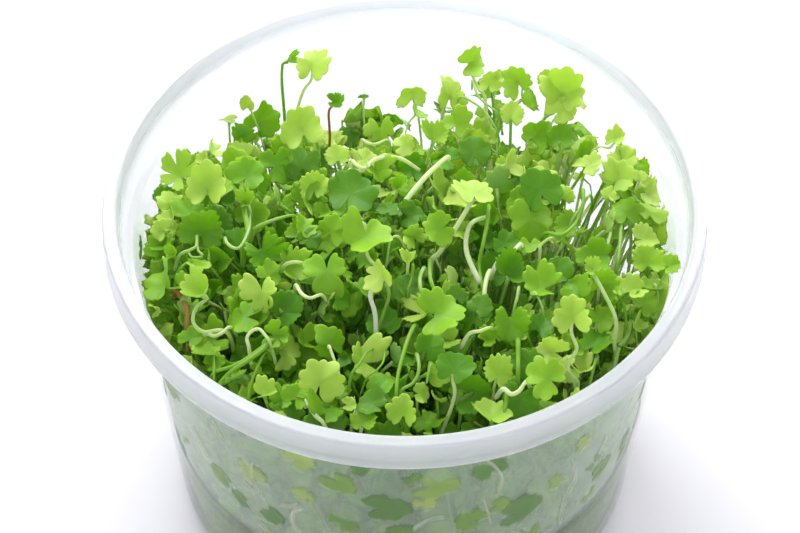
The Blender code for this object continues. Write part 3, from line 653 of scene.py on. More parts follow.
def ramp(tree, value, stops):
    """A colour ramp over value with (place, colour) stops."""
    made = add_node(tree, "ShaderNodeValToRGB", {"Fac": value})
    band = made.color_ramp
    while len(band.elements) < len(stops):
        band.elements.new(1.0)
    for element, (place, colour) in zip(band.elements, stops):
        element.position = place
        element.color = colour
    return made.outputs["Color"]


def per_metre(size):
    """Scale of a pattern whose features are size millimetres across."""
    return 1 / (size * MM)


def moulded_polypropylene(settings):
    """Polypropylene, injection moulded: pale and clear with a soft gloss, and milkier in the thick rim.

    Fog inside the wall, of fine water drops, whitens it in patches; its green tint is painted light
    from the leaves behind it, and its thickening at the sides a painted sheen. How thick it is,
    and where the rim is, the mesh says.
    """
    material, tree = new_material("moulded_polypropylene")
    where = add_node(tree, "ShaderNodeTexCoord").outputs["Object"]
    clouds = add_node(tree, "ShaderNodeTexNoise", {"Vector": where, "Scale": per_metre(9), "Detail": 3.0})
    spread = add_node(tree, "ShaderNodeAttribute", attribute_name="fog").outputs["Fac"]
    patches = add_node(
        tree, "ShaderNodeMapRange",
        {"Value": clouds.outputs[0], "From Min": 0.3, "From Max": 0.7, "To Min": 0.75, "To Max": 1.25},
    )
    fog = add_node(
        tree, "ShaderNodeMath", {0: spread, 1: patches.outputs[0]}, operation="MULTIPLY"
    ).outputs[0]
    rim = add_node(tree, "ShaderNodeAttribute", attribute_name="rim").outputs["Fac"]
    dull = add_node(
        tree, "ShaderNodeMath", {0: fog, 1: settings.fogging, 2: rim}, operation="MULTIPLY_ADD"
    ).outputs[0]
    frosting = add_node(
        tree, "ShaderNodeMapRange",
        {"Value": clouds.outputs[0], "To Min": settings.frosting - 0.03, "To Max": settings.frosting + 0.04},
    )
    rough = add_node(
        tree, "ShaderNodeMath", {0: dull, 1: settings.blurring, 2: frosting.outputs[0]},
        operation="MULTIPLY_ADD",
    )
    rim_clear = add_node(
        tree, "ShaderNodeMath", {0: rim, 1: -settings.rim_veil, 2: settings.clearness},
        operation="MULTIPLY_ADD",
    )
    clear = add_node(
        tree, "ShaderNodeMath", {0: fog, 1: -settings.fog_veil, 2: rim_clear.outputs[0]},
        operation="MULTIPLY_ADD",
    )
    solid = add_node(
        tree, "ShaderNodeMapRange", {"Value": dull, "To Min": 1 - settings.directness, "To Max": 1.0}
    )
    wall = ramp(
        tree, fog,
        [(0.0, settings.plastic), (0.25, settings.fogged), (0.55, settings.fogged),
         (1.0, settings.thick_fog)],
    )
    tint = add_node(
        tree, "ShaderNodeMix", {"Factor": rim, "A": wall, "B": settings.rim_plastic}, data_type="RGBA"
    ).outputs["Result"]
    skin = add_node(tree, "ShaderNodeTexNoise", {"Vector": where, "Scale": per_metre(1.5), "Detail": 2.0})
    bump = add_node(
        tree, "ShaderNodeBump", {"Height": skin.outputs[0], "Strength": 0.03, "Distance": 0.1 * MM}
    )
    shader = add_node(
        tree, "ShaderNodeBsdfPrincipled",
        {
            "Base Color": tint,
            "Roughness": rough.outputs[0],
            "IOR": 1.49,
            "Alpha": solid.outputs[0],
            "Transmission Weight": clear.outputs[0],
            "Sheen Weight": settings.bloom,
            "Sheen Roughness": 0.4,
            "Normal": bump.outputs[0],
        },
    )
    milk = add_node(tree, "ShaderNodeBsdfTranslucent", {"Color": tint})
    share = add_node(tree, "ShaderNodeMath", {0: rim, 1: settings.milkiness}, operation="MULTIPLY")
    both = add_node(
        tree, "ShaderNodeMixShader", {0: share.outputs[0], 1: shader.outputs[0], 2: milk.outputs[0]}
    )
    add_node(tree, "ShaderNodeOutputMaterial", {"Surface": both.outputs[0]})
    return material


def cast_gel(settings):
    """Nutrient gel, cast in the cup: clear, wet and faintly green, with a darker green band at its edge by
    the wall.
    """
    material, tree = new_material("cast_nutrient_gel")
    where = add_node(tree, "ShaderNodeTexCoord").outputs["Object"]
    ripples = add_node(tree, "ShaderNodeTexNoise", {"Vector": where, "Scale": per_metre(6), "Detail": 2.0})
    edge = add_node(tree, "ShaderNodeAttribute", attribute_name="edge").outputs["Fac"]
    tint = add_node(
        tree, "ShaderNodeMix", {"Factor": edge, "A": settings.gel, "B": settings.edge}, data_type="RGBA"
    )
    bump = add_node(
        tree, "ShaderNodeBump", {"Height": ripples.outputs[0], "Strength": 0.1, "Distance": 0.3 * MM}
    )
    shader = add_node(
        tree, "ShaderNodeBsdfPrincipled",
        {
            "Base Color": tint.outputs["Result"],
            "Roughness": 0.08,
            "IOR": 1.34,
            "Transmission Weight": 0.7,
            "Normal": bump.outputs[0],
        },
    )
    add_node(tree, "ShaderNodeOutputMaterial", {"Surface": shader.outputs[0]})
    return material


def grown_blade(settings):
    """Living leaf blade: thin and satin, paler beneath, with light passing through it.

    Its veins spread from the stalk. Real ones are too fine to show, so they are drawn broader.
    """
    material, tree = new_material("grown_leaf_blade")
    place = add_node(tree, "ShaderNodeAttribute", attribute_name="blade_place").outputs["Vector"]
    parts = add_node(tree, "ShaderNodeSeparateXYZ", {"Vector": place})
    # The age attribute also holds the painted light that makes blades paler at the back, the right and near
    # the wall
    age = add_node(tree, "ShaderNodeAttribute", attribute_name="blade_age").outputs["Fac"]
    on_blade = add_node(tree, "ShaderNodeVectorMath", {0: place, 1: (1, 1, 0)}, operation="MULTIPLY")
    out = add_node(
        tree, "ShaderNodeVectorMath", {0: on_blade.outputs["Vector"]}, operation="LENGTH"
    ).outputs["Value"]
    turn = add_node(tree, "ShaderNodeMath", {0: parts.outputs[1], 1: parts.outputs[0]}, operation="ARCTAN2")
    off_vein = add_node(
        tree, "ShaderNodeMath", {0: turn.outputs[0], 1: VEIN_ANGLE / 2}, operation="PINGPONG"
    )
    beside = add_node(tree, "ShaderNodeMath", {0: off_vein.outputs[0], 1: out}, operation="MULTIPLY")
    vein = add_node(
        tree, "ShaderNodeMapRange",
        {"Value": beside.outputs[0], "From Max": VEIN_WIDTH, "To Min": 1.0, "To Max": 0.0},
        interpolation_type="SMOOTHSTEP",
    )
    where = add_node(tree, "ShaderNodeTexCoord").outputs["Object"]
    mottle = add_node(tree, "ShaderNodeTexNoise", {"Vector": where, "Scale": per_metre(2.2), "Detail": 3.0})
    older = add_node(
        tree, "ShaderNodeMath", {0: mottle.outputs[0], 1: 0.16, 2: age}, operation="MULTIPLY_ADD"
    )
    # Painted shade: each blade is painted darker at its middle and paler towards its edge
    shade = add_node(
        tree, "ShaderNodeMath", {0: out, 1: -0.12, 2: older.outputs[0]}, operation="MULTIPLY_ADD"
    )
    # The ramp's last stop, the waxy colour, is partly a painted sheen
    tint = ramp(
        tree, shade.outputs[0],
        [(0.0, settings.young), (0.3, settings.grown), (0.58, settings.old), (0.82, settings.shaded),
         (0.9, settings.waxy)],
    )
    paler = add_node(tree, "ShaderNodeMath", {0: parts.outputs[2], 1: 0.32}, operation="MULTIPLY")
    sided = add_node(
        tree, "ShaderNodeMix", {"Factor": paler.outputs[0], "A": tint, "B": settings.underside},
        data_type="RGBA",
    )
    faint = add_node(tree, "ShaderNodeMath", {0: vein.outputs[0], 1: 0.06}, operation="MULTIPLY")
    veined = add_node(
        tree, "ShaderNodeMix",
        {"Factor": faint.outputs[0], "A": sided.outputs["Result"], "B": linear(VEIN_COLOUR)},
        data_type="RGBA",
    ).outputs["Result"]
    cells = add_node(tree, "ShaderNodeTexNoise", {"Vector": where, "Scale": per_metre(0.45), "Detail": 2.0})
    relief = add_node(
        tree, "ShaderNodeMath", {0: vein.outputs[0], 1: -0.3, 2: cells.outputs[0]}, operation="MULTIPLY_ADD"
    )
    bump = add_node(
        tree, "ShaderNodeBump", {"Height": relief.outputs[0], "Strength": 0.25, "Distance": 0.08 * MM}
    )
    satin = add_node(
        tree, "ShaderNodeMapRange", {"Value": mottle.outputs[0], "To Min": 0.34, "To Max": 0.52}
    )
    lit = add_node(
        tree, "ShaderNodeBsdfPrincipled",
        {
            "Base Color": veined,
            "Roughness": satin.outputs[0],
            "IOR": 1.42,
            "Specular IOR Level": 0.45,
            "Normal": bump.outputs[0],
        },
    )
    glow = add_node(
        tree, "ShaderNodeMix", {"Factor": 0.45, "A": veined, "B": linear(GLOW_COLOUR)}, data_type="RGBA"
    )
    through = add_node(
        tree, "ShaderNodeBsdfTranslucent", {"Color": glow.outputs["Result"], "Normal": bump.outputs[0]}
    )
    both = add_node(tree, "ShaderNodeMixShader", {0: 0.5, 1: lit.outputs[0], 2: through.outputs[0]})
    add_node(tree, "ShaderNodeOutputMaterial", {"Surface": both.outputs[0]})
    return material


def grown_stalk(settings):
    """Living stalk: round, moist and half clear, blanched where it grew in shade."""
    material, tree = new_material("grown_stalk")
    tone = add_node(tree, "ShaderNodeAttribute", attribute_name="stalk_tone").outputs["Fac"]
    where = add_node(tree, "ShaderNodeTexCoord").outputs["Object"]
    streaks = add_node(tree, "ShaderNodeTexNoise", {"Vector": where, "Scale": per_metre(1.6), "Detail": 3.0})
    shade = add_node(
        tree, "ShaderNodeMath", {0: streaks.outputs[0], 1: 0.2, 2: tone}, operation="MULTIPLY_ADD"
    )
    tint = ramp(
        tree, shade.outputs[0],
        [(0.04, settings.palest), (0.2, settings.blanched), (0.55, settings.green), (0.8, settings.green),
         (1.0, settings.reddened)],
    )
    bump = add_node(
        tree, "ShaderNodeBump", {"Height": streaks.outputs[0], "Strength": 0.15, "Distance": 0.06 * MM}
    )
    lit = add_node(
        tree, "ShaderNodeBsdfPrincipled",
        {"Base Color": tint, "Roughness": 0.32, "IOR": 1.4, "Normal": bump.outputs[0]},
    )
    through = add_node(tree, "ShaderNodeBsdfTranslucent", {"Color": tint, "Normal": bump.outputs[0]})
    both = add_node(tree, "ShaderNodeMixShader", {0: 0.5, 1: lit.outputs[0], 2: through.outputs[0]})
    add_node(tree, "ShaderNodeOutputMaterial", {"Surface": both.outputs[0]})
    return material


def painted_table(settings):
    """White painted table top: matt and even, with a slight unevenness of its coat."""
    material, tree = new_material("painted_table")
    where = add_node(tree, "ShaderNodeTexCoord").outputs["Object"]
    coat = add_node(tree, "ShaderNodeTexNoise", {"Vector": where, "Scale": per_metre(2), "Detail": 2.0})
    rough = add_node(tree, "ShaderNodeMapRange", {"Value": coat.outputs[0], "To Min": 0.55, "To Max": 0.65})
    shader = add_node(
        tree, "ShaderNodeBsdfPrincipled", {"Base Color": settings.floor, "Roughness": rough.outputs[0]}
    )
    add_node(tree, "ShaderNodeOutputMaterial", {"Surface": shader.outputs[0]})
    return material


def shared(name, make, settings):
    """The material of that name, made once."""
    return bpy.data.materials.get(name) or make(settings)


def mesh_piece(name, places, faces, material, corner_uv=None, **point_values):
    """A smooth mesh that rides on the body, from places in millimetres and lists of same-sided faces.

    Each of the point values becomes an attribute of that name.
    """
    mesh = bpy.data.meshes.new(name)
    corners = np.concatenate([f.ravel() for f in faces]).astype(np.int32)
    sides = np.concatenate([np.full(len(f), f.shape[1]) for f in faces])
    mesh.vertices.add(len(places))
    mesh.vertices.foreach_set("co", (np.asarray(places) * MM).astype(np.float32).ravel())
    mesh.loops.add(len(corners))
    mesh.loops.foreach_set("vertex_index", corners)
    mesh.polygons.add(len(sides))
    mesh.polygons.foreach_set("loop_start", np.concatenate([[0], np.cumsum(sides)[:-1]]).astype(np.int32))
    mesh.update(calc_edges=True)
    for key, values in point_values.items():
        wide = values.ndim == 2
        attribute = mesh.attributes.new(key, "FLOAT_VECTOR" if wide else "FLOAT", "POINT")
        attribute.data.foreach_set("vector" if wide else "value", values.astype(np.float32).ravel())
    if corner_uv is not None:
        layer = mesh.uv_layers.new(name=BAKE_MAP)
        layer.uv.foreach_set("vector", corner_uv.astype(np.float32).ravel())
    mesh.shade_smooth()
    mesh.materials.append(material)
    made = bpy.data.objects.new(name, mesh)
    bpy.context.scene.collection.objects.link(made)
    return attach(made, BODY)


def turned(name, profile, segments, material, **values):
    """A closed body turned from a profile of (radius, height) points that starts and ends on the axis.

    The values name attributes and the functions that give them from an array of places.
    """
    profile = np.array(profile)
    rings = len(profile) - 2
    turn = np.arange(segments) / segments * TAU
    ring_places = np.stack(
        [
            profile[1:-1, :1] * np.cos(turn),
            profile[1:-1, :1] * np.sin(turn),
            np.repeat(profile[1:-1, 1:], segments, axis=1),
        ],
        axis=-1,
    ).reshape(-1, 3)
    poles = np.array([[0, 0, profile[0, 1]], [0, 0, profile[-1, 1]]])
    index = np.arange(rings * segments).reshape(rings, segments)
    after = np.roll(index, -1, axis=1)
    sides = np.stack([index[1:], after[1:], after[:-1], index[:-1]], -1).reshape(-1, 4)
    first = rings * segments
    start = np.stack([index[0], after[0], np.full(segments, first)], -1)
    end = np.stack([after[-1], index[-1], np.full(segments, first + 1)], -1)
    places = np.concatenate([ring_places, poles])
    found = {key: value(places) for key, value in values.items()}
    made = mesh_piece(name, places, [sides, start, end], material, **found)
    made.data.set_sharp_from_angle(angle=SHARP_ANGLE)
    return made


def arc(centre_r, centre_z, radius, start, end, steps):
    """Points of a profile's rounding, from one angle to another, in degrees from +r to +z."""
    turn = np.radians(np.linspace(start, end, steps + 1))
    return list(zip(centre_r + radius * np.cos(turn), centre_z + radius * np.sin(turn)))


def wall_radius(z):
    """Inner radius of the tapered wall at a height."""
    return STEP_RADIUS - (CUP_HEIGHT - STEP_BOTTOM - z) * WALL_TAPER


def inner_radius(z):
    """Inner radius of the cup at a height, over the step and up to the lip."""
    top = CUP_HEIGHT
    return np.interp(
        z,
        [0, top - STEP_BOTTOM, top - STEP_TOP, top - RIM_EDGE],
        [wall_radius(0), STEP_RADIUS, STEP_TOP_RADIUS, LIP_RADIUS],
    )


def cup_profile():
    """Profile of the cup: from the middle of its floor up the inside, over the rim and down the outside."""
    top = CUP_HEIGHT
    inner_corner = CORNER_RADIUS - WALL
    corner_r = wall_radius(FLOOR + inner_corner) - inner_corner
    points = [(0.0, FLOOR), (corner_r / 2, FLOOR)]
    points += arc(corner_r, FLOOR + inner_corner, inner_corner, -90, -WALL_LEAN, 8)
    points += [(wall_radius(z), z) for z in WALL_LEVELS]
    points += [(STEP_RADIUS, top - STEP_BOTTOM - 0.15), (STEP_RADIUS + 0.12, top - STEP_BOTTOM + 0.05)]
    points += [(STEP_TOP_RADIUS - EASE, top - STEP_TOP - EASE), (STEP_TOP_RADIUS, top - STEP_TOP + 0.15)]
    points += [(LIP_RADIUS, top - 2 * RIM_EDGE)]
    points += arc(LIP_RADIUS + RIM_EDGE, top - RIM_EDGE, RIM_EDGE, 180, 90, 6)
    skirt_r = RIM_RADIUS - BEAD_DEPTH
    points += arc(skirt_r - RIM_EDGE, top - RIM_EDGE, RIM_EDGE, 90, 0, 6)
    points += [(skirt_r, top - BEAD_TOP + EASE), (skirt_r + 0.02, top - BEAD_TOP)]
    bead = top - BEAD_TOP - BEAD_DEPTH
    points += [(RIM_RADIUS - 0.02, bead), (RIM_RADIUS, bead - EASE)]
    points += arc(RIM_RADIUS - ROLL, top - SKIRT_HEIGHT + ROLL, ROLL, 0, -90, 3)
    inside_skirt = skirt_r - SKIRT_THICKNESS
    points += [(inside_skirt + EASE, top - SKIRT_HEIGHT), (inside_skirt, top - SKIRT_HEIGHT + EASE)]
    points += [(inside_skirt, top - RIM_THICKNESS)]
    points += [(LIP_RADIUS + WALL, top - RIM_THICKNESS)]
    points += [(STEP_TOP_RADIUS + WALL, top - STEP_TOP)]
    points += [(STEP_RADIUS + WALL, top - STEP_BOTTOM - WALL)]
    points += [(wall_radius(z) + WALL, z) for z in np.linspace(58, 8, 6)]
    outer_corner_r = wall_radius(CORNER_RADIUS) + WALL - CORNER_RADIUS
    points += arc(outer_corner_r, CORNER_RADIUS, CORNER_RADIUS, -WALL_LEAN, -90, 8)
    points += [(outer_corner_r / 2, 0.0), (0.0, 0.0)]
    return points


def fogged_face(places):
    """Fog of the wall's inside between gel and step, thinning to 0 at the back; made thicker at the sides as
    a painted sheen.
    """
    y, z = places[:, 1], places[:, 2]
    inside = np.hypot(places[:, 0], y) < wall_radius(z) + WALL / 2
    thickness = FOG_AT_FRONT + PAINTED_SHEEN_AT_SIDES * (places[:, 0] / STEP_RADIUS) ** 2
    return (inside & (z > FOG_LOW) & (z < FOG_TOP)) * smooth(FOG_BACK, FOG_FRONT, y) * thickness


def rim_face(places):
    """1 on the thicker, milkier rim; 0 elsewhere."""
    out = np.hypot(places[:, 0], places[:, 1])
    return ((places[:, 2] > CUP_HEIGHT - STEP_TOP) & (out > RIM_START)).astype(float)


def gel_edge(places):
    """1 where the gel climbs the wall; 0 elsewhere."""
    out, z = np.hypot(places[:, 0], places[:, 1]), places[:, 2]
    return smooth(EDGE_BAND_LOW, EDGE_BAND_TOP, z) * (out > wall_radius(z) - 0.7 * MENISCUS_WIDTH)


def gel_profile():
    """Profile of the gel: from the middle of its top to where it climbs the wall, and down to the floor."""
    bottom = FLOOR - GEL_BITE
    corner = CORNER_RADIUS - WALL
    corner_r = wall_radius(bottom + corner) + GEL_BITE - corner
    points = [(0.0, GEL_TOP), (corner_r / 2, GEL_TOP)]
    for share in np.linspace(1, 0, 7):
        z = GEL_TOP + MENISCUS_RISE * (1 - share) ** 2
        points.append((wall_radius(GEL_EDGE) + GEL_BITE - share * MENISCUS_WIDTH, z))
    points += [(wall_radius(z) + GEL_BITE, z) for z in (GEL_TOP, EDGE_BAND_TOP, EDGE_BAND_LOW)]
    points += arc(corner_r, bottom + corner, corner, -WALL_LEAN, -90, 8)
    points += [(corner_r / 2, bottom), (0.0, bottom)]
    return points


def leaf_values(leaves, key):
    """One value of each leaf, as an array of numbers."""
    return np.array([getattr(leaf, key) for leaf in leaves], float)


def turn_matrices(leaves):
    """One rotation a leaf, from the blade's own axes: spin about its normal, then the lean to its heading."""
    lean, heading, spin = (np.radians(leaf_values(leaves, key)) for key in ("lean", "heading", "spin"))
    axis = np.stack([-np.sin(heading), np.cos(heading), np.zeros_like(heading)], -1)
    cross = np.zeros((len(leaves), 3, 3))
    cross[:, 0, 1], cross[:, 0, 2], cross[:, 1, 2] = -axis[:, 2], axis[:, 1], -axis[:, 0]
    cross[:, 1, 0], cross[:, 2, 0], cross[:, 2, 1] = axis[:, 2], -axis[:, 1], axis[:, 0]
    tilt = np.eye(3) + np.sin(lean)[:, None, None] * cross + (1 - np.cos(lean))[:, None, None] * cross @ cross
    turn = np.zeros((len(leaves), 3, 3))
    turn[:, 0, 0], turn[:, 0, 1] = np.cos(spin), -np.sin(spin)
    turn[:, 1, 0], turn[:, 1, 1] = np.sin(spin), np.cos(spin)
    turn[:, 2, 2] = 1
    return tilt @ turn


def smooth(low, high, value):
    """Share from 0 at low to 1 at high, eased at both ends."""
    share = np.clip((value - low) / (high - low), 0, 1)
    return share * share * (3 - 2 * share)


def blade_outline(angle, form, chance):
    """Reach of each blade at each angle, as a share of its radius: scalloped lobes and notches."""
    count = len(form)

    def each(low, high):
        return chance.uniform(low, high, (count, 1))

    side = np.abs(angle)[None, :]
    notch, sinus, scallop = (form[:, i : i + 1] for i in range(3))
    breadth, pairs = form[:, 9:10], form[:, 10:11]
    spacing = np.where(pairs > 1, LOBE_ANGLE * PAIR_SPACING, LOBE_ANGLE) + each(-0.1, 0.1)
    half = np.where(pairs > 1, LOBE_HALF * PAIR_BREADTH, LOBE_HALF) * breadth * each(0.88, 1.05)
    blunt, shorter, phase = each(3.0, 7.0), each(0.84, 1.0), each(-0.12, 0.12)
    body, teeth = np.zeros((count, len(angle))), np.ones((count, len(angle)))
    for pair in range(3):
        off = (side - pair * spacing) / half
        lobe = np.sqrt(np.clip(1 - np.abs(off) ** blunt, 0, 1)) * shorter**pair * (pair <= pairs)
        cut = 1 - 1.15 * scallop * (1 - np.abs(np.cos(SCALLOPS * math.pi / 2 * (off + phase))) ** 0.7)
        teeth = np.where(lobe > body, cut, teeth)
        body = np.maximum(body, lobe)
    last = (side - pairs * spacing) / half
    root = notch + (sinus - notch) * smooth(0.2, 0.9, last)
    lopsided = 1.0
    for waves, height in LOPSIDED:
        lopsided = lopsided + height * np.sin(waves * angle + each(0, TAU))
    return (root + (1 - root) * body) * teeth * lopsided


def blade_faces(points, rings):
    """Triangles and quads of one closed blade, in each those of its upper side first.

    Its vertices are the two middles, the upper rings, the lower rings and the outline.
    """
    start = 2 + np.arange(rings - 1) * points
    upper = np.append(start, 2 + 2 * (rings - 1) * points)[:, None] + np.arange(points)
    lower = np.append(start + (rings - 1) * points, 2 + 2 * (rings - 1) * points)[:, None] + np.arange(points)
    tris, quads = [], []
    for middle, ring, flip in ((0, upper, 1), (1, lower, -1)):
        after = np.roll(ring, -1, axis=1)
        fan = np.stack([np.full(points, middle), ring[0], after[0]], -1)
        band = np.stack([ring[:-1], ring[1:], after[1:], after[:-1]], -1).reshape(-1, 4)
        tris.append(fan[:, ::flip])
        quads.append(band[:, ::flip])
    return np.concatenate(tris), np.concatenate(quads)


def held_inside(places, gap):
    """Places pulled in so that they stay inside the cup, as blades that press against its wall."""
    out = np.hypot(places[..., 0], places[..., 1])
    limit = inner_radius(places[..., 2]) - gap
    share = np.where(out > limit, limit / np.maximum(out, 1e-6), 1.0)
    held = places.copy()
    held[..., :2] *= share[..., None]
    return held


def blade_surface(form, angle, shares, chance):
    """Middle surface of each blade, in its radii: bent, cupped and waved in its own way."""
    reach = blade_outline(angle, form, chance)
    x = shares[None, :, None] * (reach * np.cos(angle))[:, None, :]
    y = shares[None, :, None] * (reach * np.sin(angle))[:, None, :]
    out = np.hypot(x, y)
    one_each = (len(form), 1, 1)
    cup, funnel, fold, droop, wave, bend = (form[:, i, None, None] for i in range(3, 9))
    phase = chance.uniform(0, TAU, one_each)
    z = cup * out**2 + funnel * out + fold * (np.sqrt(y * y + 0.01) - 0.1)
    z -= droop * np.clip(x, 0, None) ** 2
    z += wave * out**3 * np.sin(5 * angle + phase)
    z += chance.normal(0, TWIST_SPREAD, one_each) * out**2 * np.sin(2 * angle + phase * 3)
    for at in (-LOBE_ANGLE, 0, LOBE_ANGLE):
        lobe = np.clip(np.cos((angle - at) / LOBE_HALF * math.pi / 2), 0, 1) ** 0.8
        lobe *= np.abs(angle - at) < LOBE_HALF
        z += (chance.normal(0.06, 1, one_each) * bend) * lobe * out**1.5
    return x, y, z


def blades(name, leaves, settings, chance, points, ring_shares, gap=BLADE_GAP):
    """One mesh of closed blades, each of its own form and at least the gap from the wall."""
    count = len(leaves)
    form = np.array([SHAPES[leaf.shape] for leaf in leaves])
    form[:, 3:8] += chance.normal(0, 1, (count, 5)) * SHAPE_SPREAD
    form[:, 0] = np.clip(form[:, 0] + chance.normal(0, NOTCH_SPREAD, count), 0.25, 0.95)
    angle = np.arange(points) / points * TAU - math.pi
    shares = np.concatenate([[0.0], ring_shares])
    x, y, z = blade_surface(form, angle, shares, chance)
    widths = leaf_values(leaves, "width")
    local = np.stack([x, y, z], -1) * (widths / 2)[:, None, None, None]
    places = leaf_values(leaves, "place")
    middle = np.einsum("nij,nrpj->nrpi", turn_matrices(leaves), local) + places[:, None, None, :]
    middle = held_inside(middle, gap)
    across = np.roll(middle, -1, axis=2) - np.roll(middle, 1, axis=2)
    along = np.empty_like(middle)
    along[:, 1:-1] = middle[:, 2:] - middle[:, :-2]
    along[:, -1] = middle[:, -1] - middle[:, -2]
    along[:, 0] = middle[:, 1] - middle[:, 0]
    normal = np.cross(along, across)
    normal[:, 0] = normal[:, 1].mean(1, keepdims=True)
    normal /= np.maximum(np.linalg.norm(normal, axis=-1, keepdims=True), 1e-9)
    half = settings.thickness / MM / 2 * (widths / USUAL_WIDTH) ** 0.5
    lift = normal * (half[:, None] * np.sqrt(1 - shares**16))[:, :, None, None]
    top, bottom = middle + lift, middle - lift

    def bodied(upper, lower):
        """Values of both sides put in the order of one blade's vertices."""
        rings = [side[:, 1:-1].reshape(count, -1, 3) for side in (upper, lower)]
        return np.concatenate([upper[:, 0, :1], lower[:, 0, :1], *rings, upper[:, -1]], axis=1)

    vertices = bodied(top, bottom)
    own_place = bodied(np.stack([x, y, np.zeros_like(x)], -1), np.stack([x, y, np.ones_like(x)], -1))
    each = vertices.shape[1]
    tris, quads = blade_faces(points, len(ring_shares))
    offset = (np.arange(count) * each)[:, None, None]
    all_tris, all_quads = (tris + offset).reshape(-1, 3), (quads + offset).reshape(-1, 4)
    ages = np.repeat(leaf_values(leaves, "age"), each)
    uv = blade_map(count, own_place[..., :2], tris, quads, points)
    material = shared("grown_leaf_blade", grown_blade, settings)
    return mesh_piece(
        name, vertices.reshape(-1, 3), [all_tris, all_quads], material, uv,
        blade_place=own_place.reshape(-1, 3), blade_age=ages,
    )


def blade_map(count, flat, tris, quads, points):
    """Corner places on the bake map: each blade has a cell of a grid, its upper side on the left half."""
    columns = max(1, math.ceil(math.sqrt(count / 2)))
    rows = math.ceil(count / columns)
    cell = np.stack([np.arange(count) % columns / columns, np.arange(count) // columns / rows], -1)
    found = []
    for group in (tris, quads):
        under = np.repeat(np.arange(len(group)) >= len(group) // 2, group.shape[1])
        own = flat[:, group.ravel()] * (0.22, 0.44) + (0.25, 0.5)
        own[:, under, 0] += 0.5
        found.append((own / (columns, rows) + cell[:, None]).reshape(-1, 2))
    return np.concatenate(found)


def smooth_path(places, count):
    """Count points on a smooth curve through the places, evenly shared among its stretches."""
    places = np.array(places, float)
    ends = np.concatenate([[2 * places[0] - places[1]], places, [2 * places[-1] - places[-2]]])
    at = np.linspace(0, len(places) - 1, count)
    stretch = np.minimum(at.astype(int), len(places) - 2)
    t = (at - stretch)[:, None]
    a, b, c, d = (ends[stretch + i] for i in range(4))
    return (2 * b + (c - a) * t + (2 * a - 5 * b + 4 * c - d) * t**2 + (3 * b - a - 3 * c + d) * t**3) / 2


def stalks(name, paths, thickness, tones, material, sides, flare=FLARE):
    """One mesh of closed round stalks along paths, an array of (stalk, point, 3).

    They slim towards their ends, and the very end is flare times as thick as near the foot.
    """
    count, points = paths.shape[:2]
    forward = np.gradient(paths, axis=1)
    forward /= np.maximum(np.linalg.norm(forward, axis=-1, keepdims=True), 1e-9)
    side = np.cross(forward, np.broadcast_to(ASIDE, forward.shape))
    side /= np.maximum(np.linalg.norm(side, axis=-1, keepdims=True), 1e-9)
    other = np.cross(forward, side)
    share = np.linspace(0, 1, points)
    swell = 1 - (1 - SLIM) * smooth(0, 0.85, share) + (flare - SLIM) * smooth(0.86, 1.0, share) ** 2
    radius = np.asarray(thickness)[:, None] / 2 * swell
    radius[:, 0] *= 0.5
    turn = np.arange(sides) / sides * TAU
    ring = (
        paths[:, :, None]
        + radius[:, :, None, None]
        * (np.cos(turn)[:, None] * side[:, :, None] + np.sin(turn)[:, None] * other[:, :, None])
    )
    bulge = forward[:, [0, -1]] * radius[:, [0, -1], None] * np.array(TIPS)[:, None]
    ends = paths[:, [0, -1]] + bulge
    vertices = np.concatenate([ring.reshape(count, -1, 3), ends], axis=1)
    each = vertices.shape[1]
    index = np.arange(points * sides).reshape(points, sides)
    after = np.roll(index, -1, axis=1)
    quads = np.stack([index[:-1], after[:-1], after[1:], index[1:]], -1).reshape(-1, 4)
    start = np.stack([np.full(sides, points * sides), after[0], index[0]], -1)
    end = np.stack([np.full(sides, points * sides + 1), index[-1], after[-1]], -1)
    tris = np.concatenate([start, end])
    offset = (np.arange(count) * each)[:, None, None]
    along = np.concatenate([np.repeat(share, sides), [0, 1]])
    tone = np.repeat(np.asarray(tones, float), each) + np.tile(GREENER * (along - 0.6), count)
    uv = stalk_map(count, points, sides)
    return mesh_piece(
        name, vertices.reshape(-1, 3), [(tris + offset).reshape(-1, 3), (quads + offset).reshape(-1, 4)],
        material, uv, stalk_tone=tone,
    )


def sunk(places):
    """The places of a stalk with an end added at each end that dips into the plantlets."""
    places = np.array(places)
    ends = []
    for end, inner in ((places[0], places[1]), (places[-1], places[-2])):
        onward = (end - inner) / np.linalg.norm(end - inner)
        ends.append(end + onward * (1.5, 1.5, 0) - (0, 0, 4))
    return [ends[0], *places, ends[1]]


def stalk_map(count, points, sides):
    """Corner places on the bake map: each stalk has a cell of a grid, its length along the cell."""
    columns = max(1, math.ceil(math.sqrt(count / 8)))
    rows = math.ceil(count / columns)
    cell = np.stack([np.arange(count) % columns / columns, np.arange(count) // columns / rows], -1)
    along, about = np.meshgrid(np.arange(points - 1), np.arange(sides), indexing="ij")
    quad = np.stack(
        [np.stack([along + a, about + r], -1) for a, r in ((0, 0), (0, 1), (1, 1), (1, 0))], 2
    ).reshape(-1, 2) / (points - 1, sides)
    around = np.arange(sides)
    caps = []
    for low, tip in ((-0.5, -1.0), (points - 0.5, points)):
        fan = np.stack([np.stack([np.full(sides, tip), around + 0.5], -1),
                        np.stack([np.full(sides, low), around + 1.0], -1),
                        np.stack([np.full(sides, low), around + 0.0], -1)], 1)
        caps.append(fan.reshape(-1, 2) / (points - 1, sides))
    found = []
    for part in (np.concatenate(caps), quad):
        own = (part + (0.12, 0)) / (1.3, 1) * (0.96, 0.86) + (0.02, 0.07)
        found.append(((own / (columns, rows))[None] + cell[:, None]).reshape(-1, 2))
    return np.concatenate(found)


